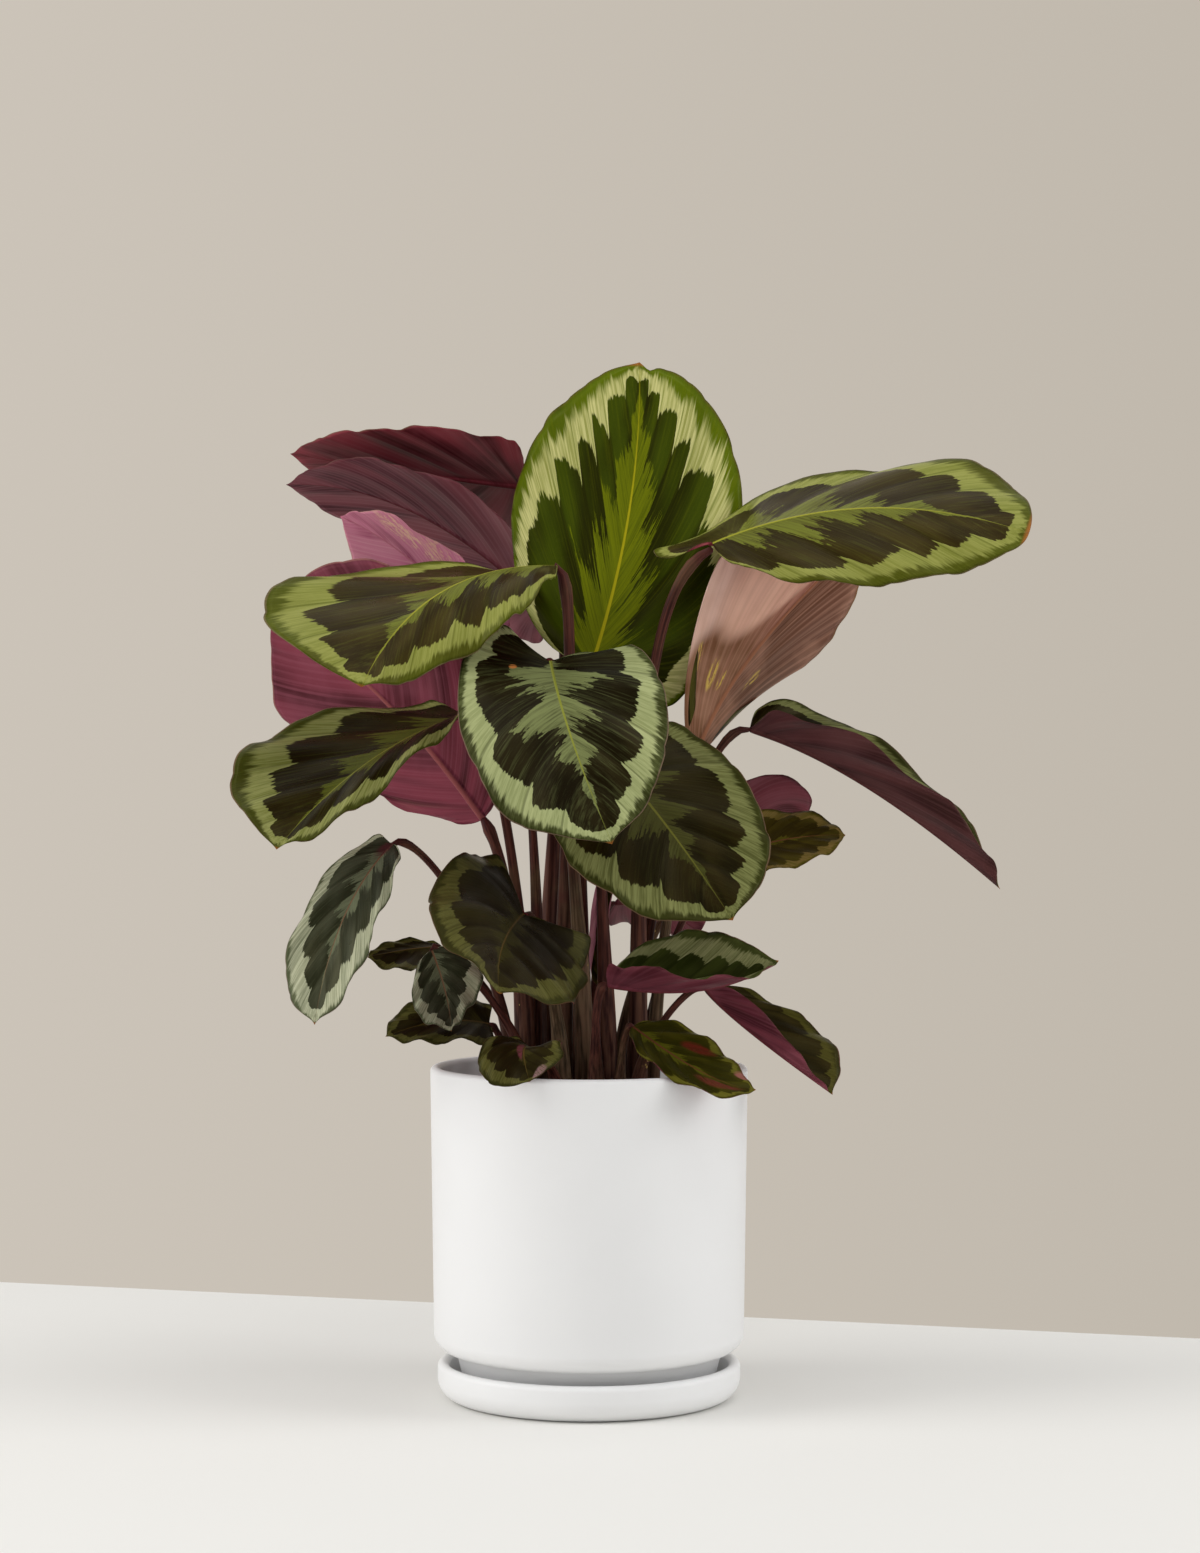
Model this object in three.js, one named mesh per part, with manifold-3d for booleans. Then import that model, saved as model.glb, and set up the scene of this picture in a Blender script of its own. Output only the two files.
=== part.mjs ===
// A potted medallion calathea: a glazed cylinder pot on its saucer, potting soil, and a clump of
// long petioles that each carry one broad, waved leaf blade, green above and purple beneath.
// Millimetres, +Z up. The origin is the centre of the saucer's flat underside.
import * as THREE from 'three';
import { mergeVertices } from 'three/addons/utils/BufferGeometryUtils.js';
import Module from 'manifold-3d';

const wasm = await Module();
wasm.setup();

// Driving dimensions of the pot
const RIM_RADIUS = 85;
const RIM_HEIGHT = 177;
const BODY_FOOT_RADIUS = 83;
const WALL = 5.5;
const BODY_CORNER = 9.5;
const BODY_LOW = 25.5;
const FOOT_TOP_RADIUS = 71.5;
const FOOT_RADIUS = 66.5;
const FOOT_RING_WIDTH = 7;
const FOOT_RECESS = 3;
const POT_FLOOR = 16;
const DRAIN_RADIUS = 8;
const ROUND_STEPS = 56;

// Driving dimensions of the saucer
const SAUCER_RADIUS = 81;
const SAUCER_HEIGHT = 19.5;
const SAUCER_LIP = 6.2;
const SAUCER_FLOOR = 5;
const SAUCER_BASE_RADIUS = 70;

// Driving dimensions of the soil and of what grows in it
const SOIL_TOP = 156;
const ROOT_DEPTH = 22;
const SEAT_GAP = 0.4;
const HOLE_GAP = 0.5;
const BLADE_THICKNESS = 0.9;
const STEM_SIDES = 6;
const STEM_STEPS = 10;

// Finishes
const glaze = new THREE.MeshStandardMaterial({ color: 0xf4f4f3, roughness: 0.45, metalness: 0 });
const earth = new THREE.MeshStandardMaterial({ color: 0x2a1c14, roughness: 0.95, metalness: 0 });
const petiole = new THREE.MeshStandardMaterial({ color: 0x4a2228, roughness: 0.55, metalness: 0 });
const foliage = new THREE.MeshStandardMaterial({ color: 0x3d5a22, roughness: 0.45, metalness: 0 });

// The leaves. base, mid and tip are points on the midrib, and face is the way the upper side looks.
// half, lobe, fold and curl each hold a value for the left and for the right half of the blade: its
// width, how far its base reaches back behind the petiole, how many degrees it is tilted up from
// the midrib, and how many more it bends by the margin. wave is the height of the margin's waves.
// root is where the petiole stands in the soil.
const LEAVES = [
  { name: 'crown', base: [1, 28, 391], mid: [22, 50, 478], tip: [28, 70, 563], face: [0, -1, 0.2],
    half: [64, 64], lobe: [0.1, 0.55], ovate: [-0.1, -0.05], fold: [4, 2], curl: [-10, 0], wave: 3,
    root: [-4, 14] },
  { name: 'right_high', base: [66, -10, 456], mid: [148, -20, 474], tip: [232, -30, 460],
    face: [0, -0.58, 0.74], half: [57, 53], lobe: [0.9, 0], ovate: [-0.6, 0.06], fold: [-10, -7],
    curl: [-3, -19], wave: 3, twist: 22, drop: 3.4, neck: 0.15, root: [26, -4] },
  { name: 'right_back', base: [56, 8, 338], mid: [88, 23, 397], tip: [156, 57, 468],
    face: [-0.18, 0.6, 0.32], half: [49, 45], lobe: [0, 0], ovate: [-0.8, -0.7], taper: 2.2,
    fold: [15, 15], curl: [30, 8], wave: 1, twist: -45, root: [24, 14] },
  { name: 'left_crest', base: [-34, 92, 495], mid: [-102, 110, 505], tip: [-172, 120, 517],
    face: [0, 0.42, 0.91], half: [56, 56], lobe: [0.5, 0.5], fold: [0, 0], curl: [0, 0], wave: 1,
    ovate: [0.35, 0.2], root: [-24, 37] },
  { name: 'left_ridge', base: [-26, 96, 428], mid: [-100, 101, 482], tip: [-172, 96, 497],
    face: [0.1, 0.38, 0.9], half: [54, 54], lobe: [0.2, 0.5], fold: [0, 0], curl: [0, 0], wave: 1.5,
    root: [-10, 32] },
  { name: 'left_rose', base: [-52, 52, 405], mid: [-96, 62, 450], tip: [-139, 68, 477],
    face: [0.3, 0.85, 0.4], half: [34, 38], lobe: [0.4, 0.4], fold: [-30, 0], curl: [0, 0], wave: 2,
    root: [-27, 18] },
  { name: 'left_back', base: [-58, 30, 309], mid: [-113, 45, 374], tip: [-177, 60, 427],
    face: [0.35, 0.85, 0.4], half: [62, 62], lobe: [0.1, 0], ovate: [-0.4, -0.4], fold: [5, 5],
    curl: [0, 0], wave: 3, root: [-34, 9] },
  { name: 'left_high', base: [-18, -25, 443], mid: [-78, -48, 427], tip: [-115, -95, 377],
    face: [-0.33, -0.53, 0.8], half: [50, 74], lobe: [0.14, 0.42], ovate: [0.31, -0.45], twist: -69,
    fold: [-9, -8], curl: [-14, 22], wave: 3, neck: 0.05, root: [-14, -6] },
  { name: 'left_middle', base: [-65, -25, 365], mid: [-116, -52, 338], tip: [-157, -105, 295],
    face: [-0.22, -0.54, 0.96], half: [31, 62], lobe: [0.27, 0.23], ovate: [0.22, -0.01], twist: -45,
    fold: [16, 3], curl: [-22, 17], wave: 3, neck: 0.07, root: [-32, -10] },
  { name: 'front_middle', base: [-20, -45, 392], mid: [-9, -84, 352], tip: [12, -115, 298],
    face: [0.11, -0.62, 0.58], half: [53, 54], lobe: [0.27, 0.95], fold: [19, 11], curl: [-2, -7],
    wave: 2.5, ovate: [0.17, -0.44], neck: 0.12, drop: 2.5, root: [-2, -20] },
  { name: 'front_right', base: [12, -26, 340], mid: [42, -52, 304], tip: [74, -76, 258],
    face: [0.1, -0.75, 0.6], half: [52, 60], lobe: [0.5, 0.5], ovate: [0, 0], fold: [5, 5],
    curl: [0, 0], wave: 2.5, root: [10, -14] },
  { name: 'right_far', base: [87, 15, 357], mid: [150, 25, 327], tip: [225, 35, 270],
    face: [0.6, 0, 0.8], half: [32, 30], lobe: [0.2, 0.2], ovate: [0.1, 0.1], fold: [52, 40],
    curl: [0, 0], wave: 3, root: [34, 6] },
  { name: 'left_droop', base: [-103, -36, 296], mid: [-127, -57, 258], tip: [-141, -70, 204],
    face: [-0.3, -0.87, 0.4], half: [27, 23], lobe: [0, 0.35], ovate: [-0.12, -0.4], fold: [24, 7],
    curl: [-3, -10], wave: 2, root: [-40, -1] },
  { name: 'low_middle', base: [-34, -46, 260], mid: [-44, -89, 245], tip: [-44, -130, 224],
    face: [-0.2, -0.65, 0.75], half: [48, 48], lobe: [1.1, 1], fold: [-29, 66], curl: [-31, -51],
    wave: 3, ovate: [-0.2, 0], neck: 0.2, drop: 2.5, root: [-14, -28] },
  { name: 'left_slip', base: [-78, 19, 238], mid: [-91, 14, 239], tip: [-119, -1, 235],
    face: [0.15, -0.23, 0.96], half: [23, 10], lobe: [0, 0], fold: [-30, 2], curl: [55, 33], wave: 1.5,
    ovate: [0.17, 0.1], twist: -18, root: [-36, 24], fine: false },
  { name: 'left_low', base: [-83, -24, 240], mid: [-75, -37, 218], tip: [-71, -60, 200],
    face: [-0.1, -0.77, 0.62], half: [20, 18], lobe: [0, 0], fold: [18, 10], curl: [-37, -10], wave: 2,
    ovate: [0.6, -0.14], twist: -6, root: [-30, -26], fine: false },
  { name: 'left_lowest', base: [-53, -15, 200], mid: [-79, -24, 202], tip: [-107, -34, 195],
    face: [0, -0.6, 0.8], half: [22, 18], lobe: [0.4, 0.4], fold: [10, 10], curl: [0, 0], wave: 2,
    root: [-42, -14], fine: false },
  { name: 'rim_left', base: [-29, -73, 192], mid: [-33, -83, 191], tip: [-30, -84, 176],
    face: [0.12, -0.65, 0.75], half: [22, 23], lobe: [0, 0], fold: [25, 0], curl: [13, -5], wave: 2,
    ovate: [0.05, -0.4], twist: -18, root: [-16, -42], fine: false },
  { name: 'right_low', base: [10, -46, 223], mid: [61, -50, 221], tip: [99, -51, 236],
    face: [0.4, -0.5, 0.75], half: [33, 41], lobe: [0, 0.28], ovate: [0, 0.49], fold: [38, 49],
    curl: [-2, 1], wave: 2, root: [4, -36], fine: false },
  { name: 'right_lowest', base: [62, -18, 219], mid: [85, -24, 197], tip: [127, -50, 166],
    face: [0.6, -0.45, 0.66], half: [30, 12], lobe: [0, 0], ovate: [-0.2, 0.6], fold: [33, 82],
    curl: [-14, 23], wave: 2, twist: 8, root: [25, -21], fine: false },
  { name: 'rim_right', base: [23, -44, 201], mid: [59, -66, 179], tip: [86, -74, 171],
    face: [0.03, -0.55, 0.83], half: [23, 18], lobe: [0, 0], fold: [6, 4], curl: [-9, 14], wave: 1.5,
    ovate: [0.17, -0.22], twist: -4, root: [16, -36], fine: false },
  { name: 'right_middle', base: [78, 5, 290], mid: [108, 12, 298], tip: [139, 18, 300],
    face: [0, -0.7, 0.7], half: [22, 22], lobe: [0.4, 0.4], fold: [5, 5], curl: [0, 0], wave: 2,
    root: [30, 20], fine: false },
  { name: 'right_behind', base: [60, 34, 284], mid: [94, 50, 311], tip: [118, 74, 304],
    face: [0, 0.8, 0.6], half: [28, 28], lobe: [0.4, 0.4], fold: [5, 5], curl: [0, 0], wave: 2,
    root: [16, 30], fine: false },
  { name: 'middle_behind', base: [14, 48, 262], mid: [38, 62, 258], tip: [62, 78, 244],
    face: [0, 0.6, 0.8], half: [26, 26], lobe: [0.3, 0.3], fold: [5, 5], curl: [0, 0], wave: 2,
    root: [2, 36], fine: false },
  { name: 'rolled', base: [6, 10, 219], mid: [4, 12, 251], tip: [11, 18, 287], face: [0.2, -1, 0],
    half: [15, 15], lobe: [0, 0], taper: 1.4, fold: [20, 20], curl: [120, 120], wave: 0, root: [6, 6],
    fine: false },
];

// How many steps a blade has along the midrib, and where its rows lie between midrib and margin.
const BROAD_GRID = { along: 14, across: [0, 0.05, 0.36, 0.7, 1] };
const SMALL_GRID = { along: 10, across: [0, 0.08, 0.55, 1] };

const radians = THREE.MathUtils.degToRad;
const point = ([x, y, z]) => new THREE.Vector3(x, y, z);

// Merges shared vertices and drops the triangles that a pole has closed up.
function closed(geometry) {
  geometry.deleteAttribute('normal');
  geometry.deleteAttribute('uv');
  const merged = mergeVertices(geometry, 1e-4);
  const kept = [];
  const index = merged.index.array;
  for (let i = 0; i < index.length; i += 3) {
    const [a, b, c] = [index[i], index[i + 1], index[i + 2]];
    if (a !== b && b !== c && a !== c) kept.push(a, b, c);
  }
  merged.setIndex(kept);
  return merged;
}

const turned = (profile, steps) => closed(new THREE.LatheGeometry(profile, steps)).rotateX(Math.PI / 2);

// The midrib is a quadratic curve through base, mid and tip.
function midribOf(leaf) {
  const [base, mid, tip] = [leaf.base, leaf.mid, leaf.tip].map(point);
  const handle = mid.clone().multiplyScalar(2).sub(base.clone().add(tip).multiplyScalar(0.5));
  return new THREE.QuadraticBezierCurve3(base, handle, tip);
}

// Returns a function that gives a point of the blade's middle surface: q runs from the base to the
// tip, and s across it, from 1 at the left margin over 0 at the midrib to -1 at the right one.
function bladeSurface(leaf) {
  const midrib = midribOf(leaf);
  const length = midrib.getLength();
  const face = point(leaf.face).normalize();
  const { ovate = [0.1, 0.1], taper = 1, apex = 0.05, twist = 0, waves = 4.5, phase = 0 } = leaf;

  function frameAt(x) {
    const t = THREE.MathUtils.clamp(x / length, 0, 1);
    const along = midrib.getTangentAt(t);
    const centre = midrib.getPointAt(t).addScaledVector(along, x - t * length);
    const up = face.clone().addScaledVector(along, -face.dot(along)).normalize();
    up.applyAxisAngle(along, radians(twist) * (t - 0.5));
    return { centre, along, up, left: up.clone().cross(along) };
  }

  return (q, s) => {
    const angle = Math.PI * q;
    const [sine, cosine] = [Math.sin(angle), Math.cos(angle)];
    const side = s < 0 ? 1 : 0;
    const half = leaf.half[side];
    const reach = (1 - cosine) / 2;
    const back = leaf.lobe[side] * (sine * (1 + cosine) / 2) ** 2;
    const marginX = length * ((1 - apex) * reach - back + apex * reach ** 10);
    const marginY = half * sine ** taper * (1 + ovate[side] * cosine);
    // A side vein leaves the midrib steeply and bends forward to its end on the margin.
    const veinX = length * q ** 1.7;
    const across = Math.abs(s);
    const bendX = veinX + 0.35 * (marginX - veinX);
    const x = (1 - across) ** 2 * veinX + 2 * across * (1 - across) * bendX + across ** 2 * marginX;
    const y = marginY * (2 * across * (1 - across) * 0.6 + across ** 2);
    const fold = radians(leaf.fold[side]);
    const turn = radians(leaf.curl[side]) / half;
    const bent = fold + turn * y;
    const straight = Math.abs(turn) < 1e-6;
    const out = straight ? y * Math.cos(fold) : (Math.sin(bent) - Math.sin(fold)) / turn;
    const lift = straight ? y * Math.sin(fold) : (Math.cos(fold) - Math.cos(bent)) / turn;
    const ripple = leaf.wave * across ** 2 * Math.sqrt(Math.max(0, sine))
      * Math.sin(2 * Math.PI * waves * q + phase + side * 1.9);
    const { centre, up, left } = frameAt(x);
    return centre
      .addScaledVector(left, Math.sign(s) * (out - ripple * Math.sin(bent)))
      .addScaledVector(up, lift + ripple * Math.cos(bent));
  };
}

// A closed blade: the middle surface thickened along its own normal, with the midrib as a keel below.
function bladeGeometry(leaf) {
  const surface = bladeSurface(leaf);
  const grid = leaf.fine === false ? SMALL_GRID : BROAD_GRID;
  const sides = [...grid.across.slice(1).reverse(), ...grid.across.map((s) => -s)];
  const keel = 0.5 + (leaf.half[0] + leaf.half[1]) * 0.018;
  const step = 1e-3;
  const sheet = new THREE.PlaneGeometry(1, 1, grid.along, sides.length - 1);
  const columns = grid.along + 1;
  const count = sheet.attributes.position.count;
  const corners = [];
  for (const face of [1, -1]) {
    for (let i = 0; i < count; i += 1) {
      const q = (i % columns) / grid.along;
      const pole = q === 0 || q === 1;
      const s = pole ? 0 : sides[Math.floor(i / columns)];
      const near = THREE.MathUtils.clamp(q, 0.02, 0.98);
      const along = surface(near + step, s).sub(surface(near - step, s));
      const across = surface(near, Math.min(1, s + step)).sub(surface(near, Math.max(-1, s - step)));
      const normal = along.cross(across).normalize();
      const rib = face < 0 && s === 0 ? keel * (1 - 0.8 * q) : 0;
      corners.push(...surface(q, s).addScaledVector(normal, face * BLADE_THICKNESS / 2 - rib));
    }
  }
  const top = sheet.index.array;
  const index = [...top];
  for (let i = 0; i < top.length; i += 3) index.push(top[i] + count, top[i + 2] + count, top[i + 1] + count);
  for (let i = 0; i < grid.along; i += 1) {
    const [a, d] = [i, i + 1];
    index.push(a, d, d + count, a, d + count, a + count);
    const [b, c] = [count - columns + i, count - columns + i + 1];
    index.push(c, b, b + count, c, b + count, c + count);
  }
  const geometry = new THREE.BufferGeometry();
  geometry.setAttribute('position', new THREE.Float32BufferAttribute(corners, 3));
  geometry.setIndex(index);
  return closed(geometry);
}

// A petiole stands upright in the soil, leans out, and meets the blade along its midrib.
function petioleCurve(leaf) {
  const [x, y] = leaf.root;
  const ground = new THREE.Vector3(x, y, SOIL_TOP + 3);
  const start = midribOf(leaf).getTangent(0);
  const { lean = 0.5, neck = 0.12, drop = 0 } = leaf;
  const end = point(leaf.base).addScaledVector(start, -SEAT_GAP);
  end.addScaledVector(point(leaf.face).normalize(), -drop);
  const rise = end.distanceTo(ground);
  return new THREE.CubicBezierCurve3(
    ground,
    ground.clone().add(new THREE.Vector3(0, 0, rise * lean)),
    end.clone().addScaledVector(start, -rise * neck),
    end,
  );
}

// A unit cylinder bent along the petiole, whose lowest step is the root that stands in the soil.
function petioleGeometry(leaf) {
  const rod = new THREE.CylinderGeometry(1, 1, 1, STEM_SIDES, STEM_STEPS);
  const curve = petioleCurve(leaf);
  const radiusAt = petioleRadius(leaf);
  const across = new THREE.Vector3(1, 0, 0);
  const rings = Array.from({ length: STEM_STEPS + 1 }, (_, i) => {
    const t = Math.max(0, (i - 1) / (STEM_STEPS - 1));
    const along = curve.getTangentAt(t);
    const centre = curve.getPointAt(t);
    if (i === 0) centre.z -= ROOT_DEPTH + 3;
    across.addScaledVector(along, -across.dot(along)).normalize();
    const radius = radiusAt(t) * (t === 1 ? 0.7 : 1);
    return { centre, first: across.clone(), second: along.clone().cross(across), radius };
  });
  const place = rod.attributes.position;
  for (let i = 0; i < place.count; i += 1) {
    const ring = rings[Math.round((place.getY(i) + 0.5) * STEM_STEPS)];
    const spot = ring.centre.clone()
      .addScaledVector(ring.first, place.getX(i) * ring.radius)
      .addScaledVector(ring.second, -place.getZ(i) * ring.radius);
    place.setXYZ(i, spot.x, spot.y, spot.z);
  }
  return closed(rod);
}

function petioleRadius(leaf) {
  const width = leaf.half[0] + leaf.half[1];
  const slim = 1.3 + width * 0.013;
  const sheath = slim + 1.4 + width * 0.011;
  return (t) => slim + (sheath - slim) * (1 - THREE.MathUtils.smoothstep(t, 0.1, 0.65));
}

function mesh(name, geometry, material) {
  const made = new THREE.Mesh(geometry, material);
  made.name = name;
  return made;
}

const arc = (x, z, radius, from, to, steps) => Array.from({ length: steps + 1 }, (_, i) => {
  const angle = radians(from + (to - from) * i / steps);
  return new THREE.Vector2(x + radius * Math.cos(angle), z + radius * Math.sin(angle));
});

// The pot: a straight cylinder with a rounded lip and lower edge, on a narrower foot, with a drain.
function potGeometry() {
  const foot = SAUCER_FLOOR + SEAT_GAP;
  const lip = WALL / 2;
  const profile = [
    new THREE.Vector2(DRAIN_RADIUS, foot + FOOT_RECESS),
    new THREE.Vector2(FOOT_RADIUS - FOOT_RING_WIDTH, foot + FOOT_RECESS),
    new THREE.Vector2(FOOT_RADIUS - FOOT_RING_WIDTH, foot),
    new THREE.Vector2(FOOT_RADIUS, foot),
    new THREE.Vector2(FOOT_TOP_RADIUS, BODY_LOW),
    ...arc(BODY_FOOT_RADIUS - BODY_CORNER, BODY_LOW + BODY_CORNER, BODY_CORNER, -90, 0, 4),
    ...arc(RIM_RADIUS - lip, RIM_HEIGHT - lip, lip, 0, 180, 5),
    new THREE.Vector2(BODY_FOOT_RADIUS - WALL, BODY_LOW + BODY_CORNER),
    new THREE.Vector2(FOOT_RADIUS - WALL, POT_FLOOR),
    new THREE.Vector2(DRAIN_RADIUS, POT_FLOOR),
  ];
  profile.push(profile[0].clone());
  return turned(profile, ROUND_STEPS);
}

// The saucer: a shallow dish with a thick rounded wall.
function saucerGeometry() {
  const inner = SAUCER_RADIUS - SAUCER_LIP;
  const lip = SAUCER_LIP / 2;
  const corner = SAUCER_RADIUS - SAUCER_BASE_RADIUS;
  const profile = [
    new THREE.Vector2(0, 0),
    new THREE.Vector2(SAUCER_BASE_RADIUS, 0),
    ...arc(SAUCER_BASE_RADIUS, corner, corner, -60, 0, 3),
    ...arc(SAUCER_RADIUS - lip, SAUCER_HEIGHT - lip, lip, 0, 180, 5),
    new THREE.Vector2(inner - 1, SAUCER_FLOOR + 2),
    new THREE.Vector2(inner - 4, SAUCER_FLOOR),
    new THREE.Vector2(0, SAUCER_FLOOR),
  ];
  return turned(profile, ROUND_STEPS);
}

const solidOf = (geometry) => new wasm.Manifold(new wasm.Mesh({
  numProp: 3,
  vertProperties: new Float32Array(geometry.attributes.position.array),
  triVerts: new Uint32Array(geometry.index.array),
}));

function geometryOf(solid) {
  const made = solid.getMesh();
  const geometry = new THREE.BufferGeometry();
  geometry.setAttribute('position', new THREE.BufferAttribute(made.vertProperties, 3));
  geometry.setIndex(new THREE.BufferAttribute(made.triVerts, 1));
  return geometry;
}

// The soil fills the pot to a little under the rim, with a hole for each petiole.
function soilGeometry() {
  const wallAt = (z) => THREE.MathUtils.lerp(
    BODY_FOOT_RADIUS - WALL,
    RIM_RADIUS - WALL,
    (z - BODY_LOW - BODY_CORNER) / (RIM_HEIGHT - WALL / 2 - BODY_LOW - BODY_CORNER),
  ) - HOLE_GAP;
  const bottom = POT_FLOOR + SEAT_GAP;
  const profile = [
    new THREE.Vector2(0, bottom),
    new THREE.Vector2(FOOT_RADIUS - WALL - HOLE_GAP, bottom),
    new THREE.Vector2(wallAt(BODY_LOW + BODY_CORNER), BODY_LOW + BODY_CORNER),
    new THREE.Vector2(wallAt(SOIL_TOP - 4), SOIL_TOP - 4),
    new THREE.Vector2(wallAt(SOIL_TOP) - 6, SOIL_TOP - 1),
    new THREE.Vector2(0, SOIL_TOP),
  ];
  let soil = solidOf(turned(profile, 32));
  for (const leaf of LEAVES) {
    const depth = ROOT_DEPTH + 6;
    const hole = new THREE.CylinderGeometry(1, 1, depth, STEM_SIDES);
    const radius = petioleRadius(leaf)(0) + HOLE_GAP;
    hole.scale(radius, 1, radius);
    hole.rotateX(Math.PI / 2);
    hole.translate(leaf.root[0], leaf.root[1], SOIL_TOP - ROOT_DEPTH - SEAT_GAP + depth / 2);
    soil = soil.subtract(solidOf(closed(hole)));
  }
  return geometryOf(soil);
}

const plant = new THREE.Group();
plant.add(mesh('pot', potGeometry(), glaze));
plant.add(mesh('saucer', saucerGeometry(), glaze));
plant.add(mesh('soil', soilGeometry(), earth));
for (const leaf of LEAVES) {
  plant.add(mesh(`petiole_${leaf.name}`, petioleGeometry(leaf), petiole));
  plant.add(mesh(`blade_${leaf.name}`, bladeGeometry(leaf), foliage));
}

export default plant;
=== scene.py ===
# A potted medallion calathea in a white glazed cylinder pot on its saucer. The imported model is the
# frame: finer blades, petioles, pot and saucer take the place of its nodes, in the same positions.
# Leaf and pot sizes are in millimetres, as in the part's source, and become metres in each mesh.
import math
import random

import bmesh
import bpy
import numpy as np
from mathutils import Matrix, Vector


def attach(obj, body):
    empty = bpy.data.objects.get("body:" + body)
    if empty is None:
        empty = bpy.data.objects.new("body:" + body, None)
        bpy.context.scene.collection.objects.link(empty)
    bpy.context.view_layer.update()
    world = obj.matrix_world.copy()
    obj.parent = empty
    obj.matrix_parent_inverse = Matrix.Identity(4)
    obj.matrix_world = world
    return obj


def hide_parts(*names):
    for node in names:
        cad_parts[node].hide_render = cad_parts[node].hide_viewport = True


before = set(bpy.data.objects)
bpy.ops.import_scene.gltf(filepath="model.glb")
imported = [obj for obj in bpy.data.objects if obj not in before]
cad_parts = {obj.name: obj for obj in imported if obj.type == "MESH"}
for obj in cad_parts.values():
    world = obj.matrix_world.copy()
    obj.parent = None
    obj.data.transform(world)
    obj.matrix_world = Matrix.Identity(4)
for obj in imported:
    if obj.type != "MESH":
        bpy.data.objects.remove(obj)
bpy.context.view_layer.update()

MM = 0.001

# Pot and saucer
RIM_RADIUS = 85
RIM_HEIGHT = 177
BODY_FOOT_RADIUS = 83
WALL = 5.5
BODY_CORNER = 9.5
BODY_LOW = 25.5
FOOT_TOP_RADIUS = 71.5
FOOT_RADIUS = 66.5
FOOT_RING_WIDTH = 7
FOOT_RECESS = 3
POT_FLOOR = 16
DRAIN_RADIUS = 8
DRAIN_EASE = 0.6
SAUCER_RADIUS = 81
SAUCER_HEIGHT = 19.5
SAUCER_LIP = 6.2
SAUCER_FLOOR = 5
SAUCER_BASE_RADIUS = 70
SAUCER_INNER_CORNER = 4
EDGE = 1
TURNED_STEPS = 160
SEAT_GAP = 0.4

# Soil, with bark crumbs lying on it
SOIL_TOP = 156
CRUMB_REACH = 72
CRUMB_COUNT = 420
CRUMB_SIZES = (1.2, 3.4)
CRUMB_LENGTH = 1.5
CRUMB_HEIGHT = 0.55
CRUMB_LUMPS = (0.7, 1.1)

# Blades. Shares are of the blade's length or, for heights, of its half width.
BLADE_THICKNESS = 0.5
BROAD_GRID = (110, 72)
SMALL_GRID = (64, 40)
ROW_CROWDING = 1.6
VEIN_BEND = 0.4
VEIN_BULGE = 1.2
LOBE_CROWDING = 0.6
LOBE_DENT = 0.03
APEX_SHARE = 0.05
DRIP_TIP_SHARE = 0.022
MARGIN_WAVES = 4.5
RIGHT_WAVE_SHIFT = 1.9
FRILL_HEIGHT = 0.011
PLEAT_DEPTH = 0.016
PILLOW_POWER = 0.8
PILLOW_LEVEL = 0.6
RIB_BREADTH = 0.8
RIB_TAPER = 0.85
RIB_RISE_ABOVE = 0.12
RIB_RISE_BELOW = 0.85
TIP_ZONE = 4.2
FLAME_REACH = 0.85
FLAME_FALL = 0.35
FINE_STRIPES = 5
LEAF_SHEEN = 0.1
SHEEN_TINT = (1.0, 0.85, 0.35, 1.0)
BROWNED_TIP = (158, 98, 46)

# Petioles. Radii grow with the blade's breadth, and lean is a share of the petiole's rise.
STEM_GRID = (48, 18)
SLIM_RADIUS = 1.3
SLIM_GROWTH = 0.013
SHEATH_EXTRA = 1.4
SHEATH_GROWTH = 0.011
STALK_LEAN = 0.5
STALK_CARRY_STEPS = 241
STALK_START = 3.0
STALK_FOOT_SINK = 2.5
ROOT_DEPTH = 22
BURIED_SHARE = 0.06
CLASP_GROOVE = 0.3
RIDGES = 7
RIDGE_HEIGHT = 0.03
KNEE_SWELL = 0.22
KNEE_PLACE = 0.95
KNEE_LENGTH = 0.025
END_TAPER = 0.35

# base, mid and tip are points on the midrib, and face is the way the upper side looks. half, lobe,
# ovate, fold and curl each hold a value for the left and for the right half of the blade: its breadth,
# how far it reaches back past the base, how much broader it is near the base than near the tip, and
# in degrees how far it stands up from the midrib and rolls on from there. taper is how late the blade
# broadens, cusp how sharp its tip is, and notch a dent in the right margin: place, breadth and depth.
# twist is the turn from base to tip and wave the height of the margin's waves. pleat and lobes are the
# relief and the count of the lobes, and sweep how far forward their veins run. root is where the
# petiole stands in the soil, drop how far its tip lies behind the blade, and neck how long its last
# straight stretch is, as a share of its rise. fine asks for the broad grid, and upper and under name
# the colours of the two sides. What a row leaves out is as in the usual leaf.
USUAL_LEAF = dict(lobe=(0, 0), ovate=(0.1, 0.1), fold=(0, 0), curl=(0, 0), taper=1, cusp=0.6,
                  twist=0, pleat=1, sweep=3.4, lobes=6, drop=0, neck=0.12, fine=True)
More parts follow.
